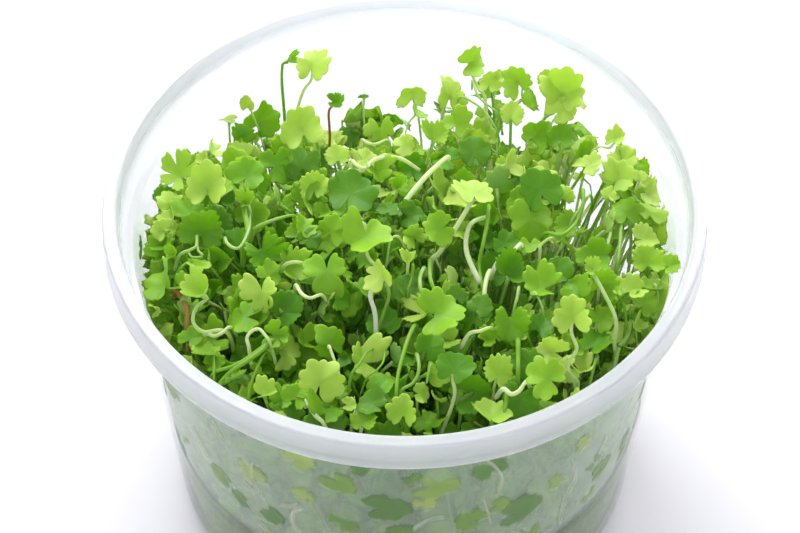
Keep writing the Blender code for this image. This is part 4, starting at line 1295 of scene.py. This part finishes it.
def stalk_feet(tops, chance):
    """Feet on the gel for stalks that end at tops: nearer the cup's middle, and inside its wall."""
    feet = tops[:, :2] * FOOT_SHARE + chance.normal(0, FOOT_SPREAD, (len(tops), 2))
    out = np.hypot(*feet.T)
    limit = wall_radius(GEL_TOP) - FOOT_INSET
    feet *= np.minimum(1, limit / np.maximum(out, 1e-6))[:, None]
    return np.column_stack([feet, np.full(len(tops), GEL_TOP - FOOT_DEPTH)])


def stalks_under(name, leaves, settings, sight, chance):
    """Stalks from the gel to each leaf: square to its blade, and bent round the gaps between leaves."""
    tops = leaf_values(leaves, "place")
    up = turn_matrices(leaves)[:, :, 2]
    tops = tops - up * 0.1
    feet = stalk_feet(tops, chance)
    length = np.linalg.norm(tops - feet, axis=1)[:, None]
    low = feet + (0, 0, 1) * length * 0.4 + chance.normal(0, 1, (len(tops), 3)) * (2.6, 2.6, 0)
    high = tops - up * np.minimum(length * 0.3, 6) + chance.normal(0, 1.2, (len(tops), 3))
    t = np.linspace(0, 1, UNDER_POINTS)[None, :, None]

    def bent(shift):
        """Curves from the feet to the tops, their middles shifted."""
        a, b, c, d = (v[:, None] for v in (feet, low + shift, high + shift, tops))
        return a * (1 - t) ** 3 + 3 * b * (1 - t) ** 2 * t + 3 * c * (1 - t) * t**2 + d * t**3

    paths = held_inside(bent(DODGE * sight.off_gaps(bent(0))), STALK_GAP)
    stoutness = chance.uniform(0.7, 1.15, len(tops)) * np.sqrt(leaf_values(leaves, "width") / USUAL_WIDTH)
    # Painted light: the stalks are painted paler at the back and the right, as the blades are
    lighter = LIGHT_TONE * younger_by(tops[:, 0], tops[:, 1])
    tones = np.clip(chance.normal(STALK_TONE, TONE_SPREAD, len(tops)) - lighter, 0.05, 0.7)
    material = shared("grown_stalk", grown_stalk, settings)
    return stalks(name, paths, settings.thickness / MM * stoutness, tones, material, UNDER_SIDES)


class Sight:
    """Finds places on the mat and the wall, from above and along lines of sight from the camera."""

    def __init__(self, settings):
        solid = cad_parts["plant_mat"].data
        faces = [tuple(face.vertices) for face in solid.polygons]
        self.mat = BVHTree.FromPolygons([vertex.co for vertex in solid.vertices], faces)
        self.tilt = math.radians(settings.camera_tilt)
        self.place = Vector(settings.camera_place)
        self.reach = PHOTO_WIDTH * settings.lens / SENSOR_WIDTH  # from the camera, in pixels

    def mat_top(self, x, y):
        """Height of the mat's top over a place, or None beside the mat."""
        hit = self.mat.ray_cast(Vector((x * MM, y * MM, 2 * CUP_HEIGHT * MM)), Vector((0, 0, -1)))[0]
        return None if hit is None else hit.z / MM

    def line(self, column, row):
        """Direction of the line of sight through the column and row."""
        across = (column - PHOTO_WIDTH / 2) / self.reach
        up = -(row - PHOTO_HEIGHT / 2) / self.reach
        return Vector((across, up * math.cos(self.tilt) + math.sin(self.tilt),
                       up * math.sin(self.tilt) - math.cos(self.tilt)))

    def clears_gaps(self, leaf, chance):
        """True if the leaf, and nearly always its stalk, stay out of the gaps between the leaves."""
        x, y, z = leaf.place
        stalk = [Vector((x * share, y * share, height)) - self.place / MM
                 for share, height in zip(np.linspace(1, FOOT_SHARE, 8), np.linspace(z, GEL_TOP, 8))]
        strays = chance.uniform() < STRAY_STALKS
        for column, row, radius in GAPS:
            line = self.line(column, row).normalized()
            if stalk[0].cross(line).length < radius + BLADE_CLEARANCE * leaf.width:
                return False
            if not strays and min(place.cross(line).length for place in stalk) < radius:
                return False
        return True

    def off_gaps(self, paths):
        """Sideways shift for each path that takes its nearest place out of the gaps between the leaves."""
        shift = np.zeros((len(paths), 3))
        each = np.arange(len(paths))
        for column, row, radius in GAPS:
            line = np.array(self.line(column, row).normalized())
            away = paths - np.array(self.place / MM)
            across = away - (away @ line)[..., None] * line
            nearest = np.linalg.norm(across, axis=-1).argmin(1)
            across = across[each, nearest]
            far = np.linalg.norm(across, axis=1, keepdims=True)
            shift += across / far * np.clip(radius - far, 0, None)
        return shift

    def on_wall(self, column, row, gap):
        """The place seen at the column and row on the front of the wall's inside, the gap away from it."""
        x, y, z = self.place / MM
        dx, dy, dz = self.line(column, row)
        # The wall is a cone, which the line meets where a * t * t + 2 * b * t + c is 0
        start, grow = wall_radius(z) - gap, dz * WALL_TAPER
        a = dx * dx + dy * dy - grow * grow
        b = x * dx + y * dy - start * grow
        c = x * x + y * y - start * start
        along = (-b - math.sqrt(b * b - a * c)) / a
        return np.array([x + along * dx, y + along * dy, z + along * dz])

    def on_mat(self, column, row, above):
        """The place seen at the column and row, at that height over the mat's top.

        Over the mat's far edge it is the next height at which the line of sight meets the mat.
        """
        line = self.line(column, row)
        for lift in np.arange(above, above + HIGHEST_LIFT, 0.25):
            hit = self.mat.ray_cast(self.place - Vector((0, 0, lift * MM)), line)[0]
            if hit is not None:
                return np.array(hit) / MM + (0, 0, lift)
        raise ValueError(f"nothing of the mat is seen at {column}, {row}")


def chance_shape(chance):
    """The name of a shape, drawn by how common the shapes are."""
    return str(chance.choice(list(SHAPE_SHARES), p=list(SHAPE_SHARES.values())))


def chance_age(chance, usual):
    """An age near the usual one, or now and then that of a waxy blade."""
    age = float(np.clip(chance.normal(usual, AGE_SPREAD), YOUNGEST, 0.8))
    return WAXY_AGE if chance.uniform() < WAXY_SHARE else age


def younger_by(x, y):
    """How much the blades' age is lowered at a place, to paint them paler: painted light, strongest at the
    back and the right.
    """
    return LIGHT_AT_BACK * smooth(-5, 35, y) + LIGHT_AT_RIGHT * smooth(10, 40, x)


class Thicket:
    """Keeps the blades set so far and says whether a new one has room."""

    def __init__(self, leaves):
        self.places = np.empty((0, 3))
        self.normals = np.empty((0, 3))
        self.radii = np.empty(0)
        for leaf in leaves:
            self.add(leaf)

    @staticmethod
    def normal(leaf):
        """Direction that the leaf's upper side faces."""
        lean, heading = math.radians(leaf.lean), math.radians(leaf.heading)
        level = math.sin(lean)
        return np.array([level * math.cos(heading), level * math.sin(heading), math.cos(lean)])

    def add(self, leaf):
        self.places = np.vstack([self.places, leaf.place])
        self.normals = np.vstack([self.normals, self.normal(leaf)])
        self.radii = np.append(self.radii, leaf.width / 2)

    def room(self, leaf, apart):
        """True if the leaf clears its neighbours by about apart, and by more those turned differently."""
        away = self.places - leaf.place
        reach = (self.radii + leaf.width / 2) * REACH
        near = np.linalg.norm(away, axis=1) < reach
        if not near.any():
            return True
        mean = self.normals[near] + self.normal(leaf)
        mean /= np.linalg.norm(mean, axis=1, keepdims=True)
        between = np.abs((away[near] * mean).sum(1))
        turned_apart = np.sqrt(np.clip(1 - (self.normals[near] @ self.normal(leaf)) ** 2, 0, 1))
        least = apart + TURNED_ROOM * turned_apart * np.minimum(self.radii[near], leaf.width / 2)
        return bool((between > least).all())


def canopy_leaves(settings, thicket, sight, chance, depths, tries, age, limit):
    """Leaves strewn at depths under the mat's top, youngest and brightest where they are highest."""
    low, high = settings.narrow / MM, settings.wide / MM
    found = []
    for _ in range(tries):
        if len(found) >= limit:
            break
        out = math.sqrt(chance.uniform()) * MAT_RADIUS
        turn = chance.uniform(0, TAU)
        x, y = out * math.cos(turn), out * math.sin(turn)
        top = sight.mat_top(x * MAT_EDGE, y * MAT_EDGE)
        if top is None:
            continue
        depth = chance.uniform(*depths) + BACK_SAG * smooth(SAG_START, SAG_END, y)
        for hollow_x, hollow_y, radius, sag in HOLLOWS:
            depth += sag * smooth(radius, 0, math.hypot(x - hollow_x, y - hollow_y))
        usual = chance.uniform() < USUAL_SHARE
        leaf = Leaf(
            place=(x, y, top - depth),
            width=chance.uniform(low, high) if usual else chance.uniform(low / 2, low),
            lean=min(abs(chance.normal(40, 25)), 92),
            heading=chance.normal(-90, 110),
            spin=chance.uniform(0, 360),
            shape=chance_shape(chance),
            # Painted light: the age is lowered at the back and the right, so these blades are painted paler
            age=chance_age(chance, age - younger_by(x, y)),
        )
        if sight.clears_gaps(leaf, chance) and thicket.room(leaf, MAT_ROOM):
            thicket.add(leaf)
            found.append(leaf)
    return found


def wall_leaves(settings, thicket, sight, chance, tries, limit, pressed):
    """Leaves from the gel up near the cup's wall, or pressed against it, facing outwards."""
    low, high = settings.narrow / MM, settings.wide / MM
    found = []
    for _ in range(tries):
        if len(found) >= limit:
            break
        turn = chance.uniform(0, TAU)
        top = sight.mat_top(BY_WALL * math.cos(turn), BY_WALL * math.sin(turn)) - WALL_TOP_DEPTH
        z = GEL_EDGE + 1 + (top - GEL_EDGE - 1) * chance.uniform() ** 0.8
        out = wall_radius(z) - (chance.normal(0, 0.12) if pressed else 0.9 + abs(chance.normal(0, 1.6)))
        width = chance.uniform(low, high)
        if pressed:
            lean = chance.normal(86, 3) - 180 * chance.integers(2)  # with either side to the wall
        else:
            lean = np.clip(chance.normal(62, 22), 5, 100)
        leaf = Leaf(
            place=(out * math.cos(turn), out * math.sin(turn), z),
            width=width,
            lean=float(lean),
            heading=math.degrees(turn) + chance.normal(0, 3 if pressed else 25),
            spin=chance.uniform(0, 360),
            shape=chance_shape(chance),
            # Painted light: the leaves near the wall, but not pressed to it, are painted young and pale so
            # the mat seen through the wall looks lit
            age=chance_age(chance, 0.5 if pressed else 0.2),
        )
        if sight.clears_gaps(leaf, chance) and thicket.room(leaf, WALL_ROOM):
            thicket.add(leaf)
            found.append(leaf)
    return found


def seen_leaves(sight, chance):
    """The leaves of SEEN_LEAVES, set where they are seen, each a little off its listed lean and heading."""
    found = []
    for s in SEEN_LEAVES:
        place = sight.on_mat(s.column, s.row, s.above)
        # Painted light: a listed blade is painted paler at the back and the right, unless it is waxy
        age_with_painted_light = max(YOUNGEST, s.age - SEEN_LIGHT * younger_by(place[0], place[1]))
        starry = s.shape == "open" and chance.uniform() < STAR_SHARE
        found.append(Leaf(
            place=tuple(place),
            width=s.width * SEEN_SIZE,
            lean=s.lean * SEEN_LEAN + chance.normal(0, LEAN_SPREAD),
            heading=s.heading + chance.normal(0, HEADING_SPREAD),
            spin=s.spin,
            shape="star" if starry else s.shape,
            age=s.age if s.age > OLDEST else age_with_painted_light,
        ))
    return found


def pressed_leaves(sight):
    """The leaves of WALL_SEEN, flat against the wall where they are seen."""
    found = []
    for column, row, width, spin, shape, age in WALL_SEEN:
        place = sight.on_wall(column, row, -2 * CONTACT_BITE)
        outward = math.degrees(math.atan2(place[1], place[0]))
        found.append(Leaf(tuple(place), width, 90 - WALL_LEAN, outward, spin, shape, age - PRESSED_YOUNGER))
    return found


def sunken_leaves(settings, chance, count):
    """Leaves and shoots that were pressed into the gel with the plantlets, most of them near the wall."""
    found = []
    for _ in range(count):
        z = chance.uniform(FLOOR + 3.5, GEL_TOP - 1.5)
        turn = chance.uniform(0, TAU)
        out = wall_radius(z) - 1.2 - abs(chance.normal(0, 3.5))
        found.append(Leaf(
            place=(out * math.cos(turn), out * math.sin(turn), z),
            width=chance.uniform(settings.narrow, settings.wide) / MM,
            lean=float(chance.normal(60, 25)),
            heading=math.degrees(turn) + chance.normal(0, 40),
            spin=chance.uniform(0, 360),
            shape=chance_shape(chance),
            age=chance_age(chance, 0.32),
        ))
    return found


def leaf_of(sprig):
    """The leaf at the end of the sprig's stalk."""
    return Leaf(sprig.stalk[-1], *sprig[2:8])


class PENNYWORT_OT_cup(bpy.types.Operator):
    """Builds the moulded cup"""

    bl_idname = "pennywort.cup"
    bl_label = "Cup"

    def execute(self, context):
        material = shared("moulded_polypropylene", moulded_polypropylene, context.scene.pennywort_cup)
        cup = turned("moulded_cup", cup_profile(), CUP_SEGMENTS, material, fog=fogged_face, rim=rim_face)
        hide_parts("cup")
        return {"FINISHED"}


class PENNYWORT_OT_gel(bpy.types.Operator):
    """Builds the nutrient gel and the roots in it"""

    bl_idname = "pennywort.gel"
    bl_label = "Gel and roots"

    def execute(self, context):
        settings = context.scene.pennywort_gel
        material = shared("cast_nutrient_gel", cast_gel, settings)
        gel = turned("gel_slab", gel_profile(), CUP_SEGMENTS // 2, material, edge=gel_edge)
        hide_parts("nutrient_gel")
        chance = np.random.default_rng(ROOT_SEED)
        count = settings.roots
        out = np.sqrt(chance.uniform(0.1, 1, count)) * (wall_radius(GEL_TOP) - 3)
        turn = chance.uniform(0, TAU, count)
        tops = np.stack([out * np.cos(turn), out * np.sin(turn), np.full(count, GEL_TOP + 0.6)], -1)
        drift = chance.normal(0, ROOT_DRIFT, (count, ROOT_POINTS, 3)) * (1, 1, 0.3)
        length = chance.uniform(*ROOT_LENGTHS, (count, 1, 1))
        fall = np.linspace(0, 1, ROOT_POINTS)[None, :, None] * length * (0, 0, -1)
        paths = tops[:, None] + fall + np.cumsum(drift, axis=1) * 0.8
        paths[..., 2] = np.maximum(paths[..., 2], FLOOR + 1.5)
        paths = held_inside(paths, ROOT_GAP)
        roots = stalks(
            "gel_roots", paths, np.full(count, settings.root_thickness / MM), np.zeros(count),
            shared("grown_stalk", grown_stalk, context.scene.pennywort_stalks), ROOT_SIDES, flare=0.8,
        )
        foliage = context.scene.pennywort_foliage
        leaves = sunken_leaves(foliage, chance, SUNKEN_COUNT)
        sunken = blades("sunken_leaves", leaves, foliage, chance, 28, COARSE_RINGS)
        return {"FINISHED"}


class PENNYWORT_OT_standing(bpy.types.Operator):
    """Builds the leaves that stand out of the plantlets, each on its stalk"""

    bl_idname = "pennywort.standing"
    bl_label = "Standing leaves"

    def execute(self, context):
        foliage = context.scene.pennywort_foliage
        material = shared("grown_stalk", grown_stalk, context.scene.pennywort_stalks)
        chance = np.random.default_rng(foliage.seed)
        for number, sprig in enumerate(SPRIGS, 1):
            leaf = leaf_of(sprig)
            blade = blades(f"blade_{number:02d}", [leaf], foliage, chance, 84, STANDING_RINGS)
            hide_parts(f"leaf_{number:02d}")
            up = Thicket.normal(leaf)
            end = np.array(sprig.stalk[-1]) - up * UNDER_BLADE
            low = np.array(sprig.stalk[0], float)
            foot = stalk_feet(low[None], chance)[0]
            halfway = (low + foot) / 2 + (*chance.normal(0, 1.5, 2), 0)
            places = [foot, halfway, *sprig.stalk[:-1], end - up * STRAIGHT_END, end]
            stalk = stalks(
                f"stalk_{number:02d}", smooth_path(places, 6 * len(places))[None],
                [sprig.thickness * STANDING_STOUTNESS], [sprig.tone], material, sides=12,
            )
            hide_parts(f"stem_{number:02d}")
        return {"FINISHED"}


class PENNYWORT_OT_runners(bpy.types.Operator):
    """Builds the bare runners that cross the top of the plantlets"""

    bl_idname = "pennywort.runners"
    bl_label = "Runners"

    def execute(self, context):
        material = shared("grown_stalk", grown_stalk, context.scene.pennywort_stalks)
        for number, (places, thickness) in enumerate(RUNNERS, 1):
            path = smooth_path(places, 8 * len(places))
            runner = stalks(
                f"creeping_runner_{number:02d}", path[None], [thickness], [0.1], material, sides=12, flare=0.7
            )
            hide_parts(f"runner_{number:02d}")
        return {"FINISHED"}


class PENNYWORT_OT_plantlets(bpy.types.Operator):
    """Builds the mass of small leaves and stalks under the standing ones"""

    bl_idname = "pennywort.plantlets"
    bl_label = "Plantlets"

    def execute(self, context):
        foliage = context.scene.pennywort_foliage
        stalk_settings = context.scene.pennywort_stalks
        chance = np.random.default_rng(foliage.seed + 100)
        sight = Sight(context.scene.pennywort_stage)
        seen = seen_leaves(sight, chance)
        pressed = pressed_leaves(sight)
        thicket = Thicket([leaf_of(sprig) for sprig in SPRIGS] + seen + pressed)
        layers = [("seen_leaves", seen, 72, FINE_RINGS)]
        for name, depths, tries, age, limit, points, rings in LAYERS:
            leaves = canopy_leaves(foliage, thicket, sight, chance, depths, tries, age, limit)
            layers.append((name, leaves, points, rings))
        for name, tries, limit, flat, points, rings in WALL_LAYERS:
            leaves = wall_leaves(foliage, thicket, sight, chance, tries, limit, flat)
            layers.append((name, pressed + leaves if flat else leaves, points, rings))
        for name, leaves, points, rings in layers:
            gap = -CONTACT_BITE if name == "pressed_leaves" else BLADE_GAP
            piece = blades(name, leaves, foliage, chance, points, rings, gap)
            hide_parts("plant_mat")
            under = stalks_under(name.replace("leaves", "stalks"), leaves, stalk_settings, sight, chance)
            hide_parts("plant_mat")
        skin = shared("grown_stalk", grown_stalk, stalk_settings)
        on_top = np.array([
            smooth_path(sunk([sight.on_mat(*place) for place in places]), SEEN_POINTS)
            for places, *_ in SEEN_STALKS
        ])
        on_wall = np.array([
            smooth_path([sight.on_wall(*place, -CONTACT_BITE) for place in places], SEEN_POINTS)
            for places, *_ in WALL_STALKS
        ])
        pressed_stalks = stalks(
            "wall_seen_stalks", held_inside(on_wall, -CONTACT_BITE), [s[1] for s in WALL_STALKS],
            [s[2] for s in WALL_STALKS], skin, sides=8, flare=0.9,
        )
        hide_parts("plant_mat")
        bare = stalks(
            "bare_stalks", held_inside(on_top, 0.6), [s[1] * SEEN_STOUTNESS for s in SEEN_STALKS],
            [s[2] + SEEN_GREENER for s in SEEN_STALKS], skin, sides=10, flare=0.9,
        )
        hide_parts("plant_mat")
        return {"FINISHED"}


class PENNYWORT_OT_stage(bpy.types.Operator):
    """Sets the table, the lights and the camera"""

    bl_idname = "pennywort.stage"
    bl_label = "Stage"

    def execute(self, context):
        settings = context.scene.pennywort_stage
        scene = context.scene
        scene.view_settings.view_transform = "Standard"
        floor_mesh = bpy.data.meshes.new("table_top")
        sides = [(-1, -1), (1, -1), (1, 1), (-1, 1)]
        corners = [(x * TABLE_HALF, y * TABLE_HALF, TABLE_LEVEL) for x, y in sides]
        floor_mesh.from_pydata(corners, [], [(0, 1, 2, 3)])
        floor_mesh.materials.append(painted_table(settings))
        floor = bpy.data.objects.new("table_top", floor_mesh)
        scene.collection.objects.link(floor)
        world = bpy.data.worlds.new("soft_room")
        world.use_nodes = True
        background = world.node_tree.nodes["Background"]
        background.inputs["Color"].default_value = linear(SKY_COLOUR)
        background.inputs["Strength"].default_value = settings.sky
        scene.world = world
        for name, power, size, place in LAMPS:
            lamp = bpy.data.lights.new(name, "AREA")
            lamp.shape = "DISK"
            lamp.size = size
            lamp.color = linear(LAMP_COLOUR)[:3]
            lamp.energy = getattr(settings, power)
            stand = bpy.data.objects.new(name, lamp)
            stand.location = place
            stand.rotation_euler = (Vector(LAMP_TARGET) - stand.location).to_track_quat("-Z", "Y").to_euler()
            scene.collection.objects.link(stand)
        camera_data = bpy.data.cameras.new("camera")
        camera_data.lens = settings.lens
        camera_data.sensor_width = SENSOR_WIDTH
        camera_data.clip_start = CLIP_START
        camera = bpy.data.objects.new("camera", camera_data)
        camera.location = settings.camera_place
        camera.rotation_euler = (math.radians(settings.camera_tilt), 0.0, 0.0)
        scene.collection.objects.link(camera)
        scene.camera = camera
        return {"FINISHED"}


class PENNYWORT_PT_panel(bpy.types.Panel):
    """Lists the cup's pieces and their settings"""

    bl_idname = "PENNYWORT_PT_panel"
    bl_label = "Pennywort"
    bl_space_type = "VIEW_3D"
    bl_region_type = "UI"
    bl_category = "Pennywort"

    def draw(self, context):
        for key, operators in PARTS.items():
            box = self.layout.box()
            settings = getattr(context.scene, key)
            for name in settings.__annotations__:
                box.prop(settings, name)
            for operator in operators:
                box.operator(operator.bl_idname)


SETTINGS = {
    "pennywort_cup": CupSettings,
    "pennywort_gel": GelSettings,
    "pennywort_foliage": FoliageSettings,
    "pennywort_stalks": StalkSettings,
    "pennywort_stage": StageSettings,
}
PARTS = {
    "pennywort_cup": [PENNYWORT_OT_cup],
    "pennywort_gel": [PENNYWORT_OT_gel],
    "pennywort_foliage": [PENNYWORT_OT_standing, PENNYWORT_OT_plantlets],
    "pennywort_stalks": [PENNYWORT_OT_runners],
    "pennywort_stage": [PENNYWORT_OT_stage],
}
OPERATORS = [operator for group in PARTS.values() for operator in group]
CLASSES = [*SETTINGS.values(), *OPERATORS, PENNYWORT_PT_panel]


def register():
    for cls in CLASSES:
        bpy.utils.register_class(cls)
    for key, cls in SETTINGS.items():
        setattr(bpy.types.Scene, key, PointerProperty(type=cls))


def unregister():
    for key in SETTINGS:
        delattr(bpy.types.Scene, key)
    for cls in reversed(CLASSES):
        bpy.utils.unregister_class(cls)


def main():
    register()
    bpy.ops.pennywort.stage()
    bpy.ops.pennywort.cup()
    bpy.ops.pennywort.gel()
    bpy.ops.pennywort.standing()
    bpy.ops.pennywort.runners()
    bpy.ops.pennywort.plantlets()


if __name__ == "__main__":
    main()
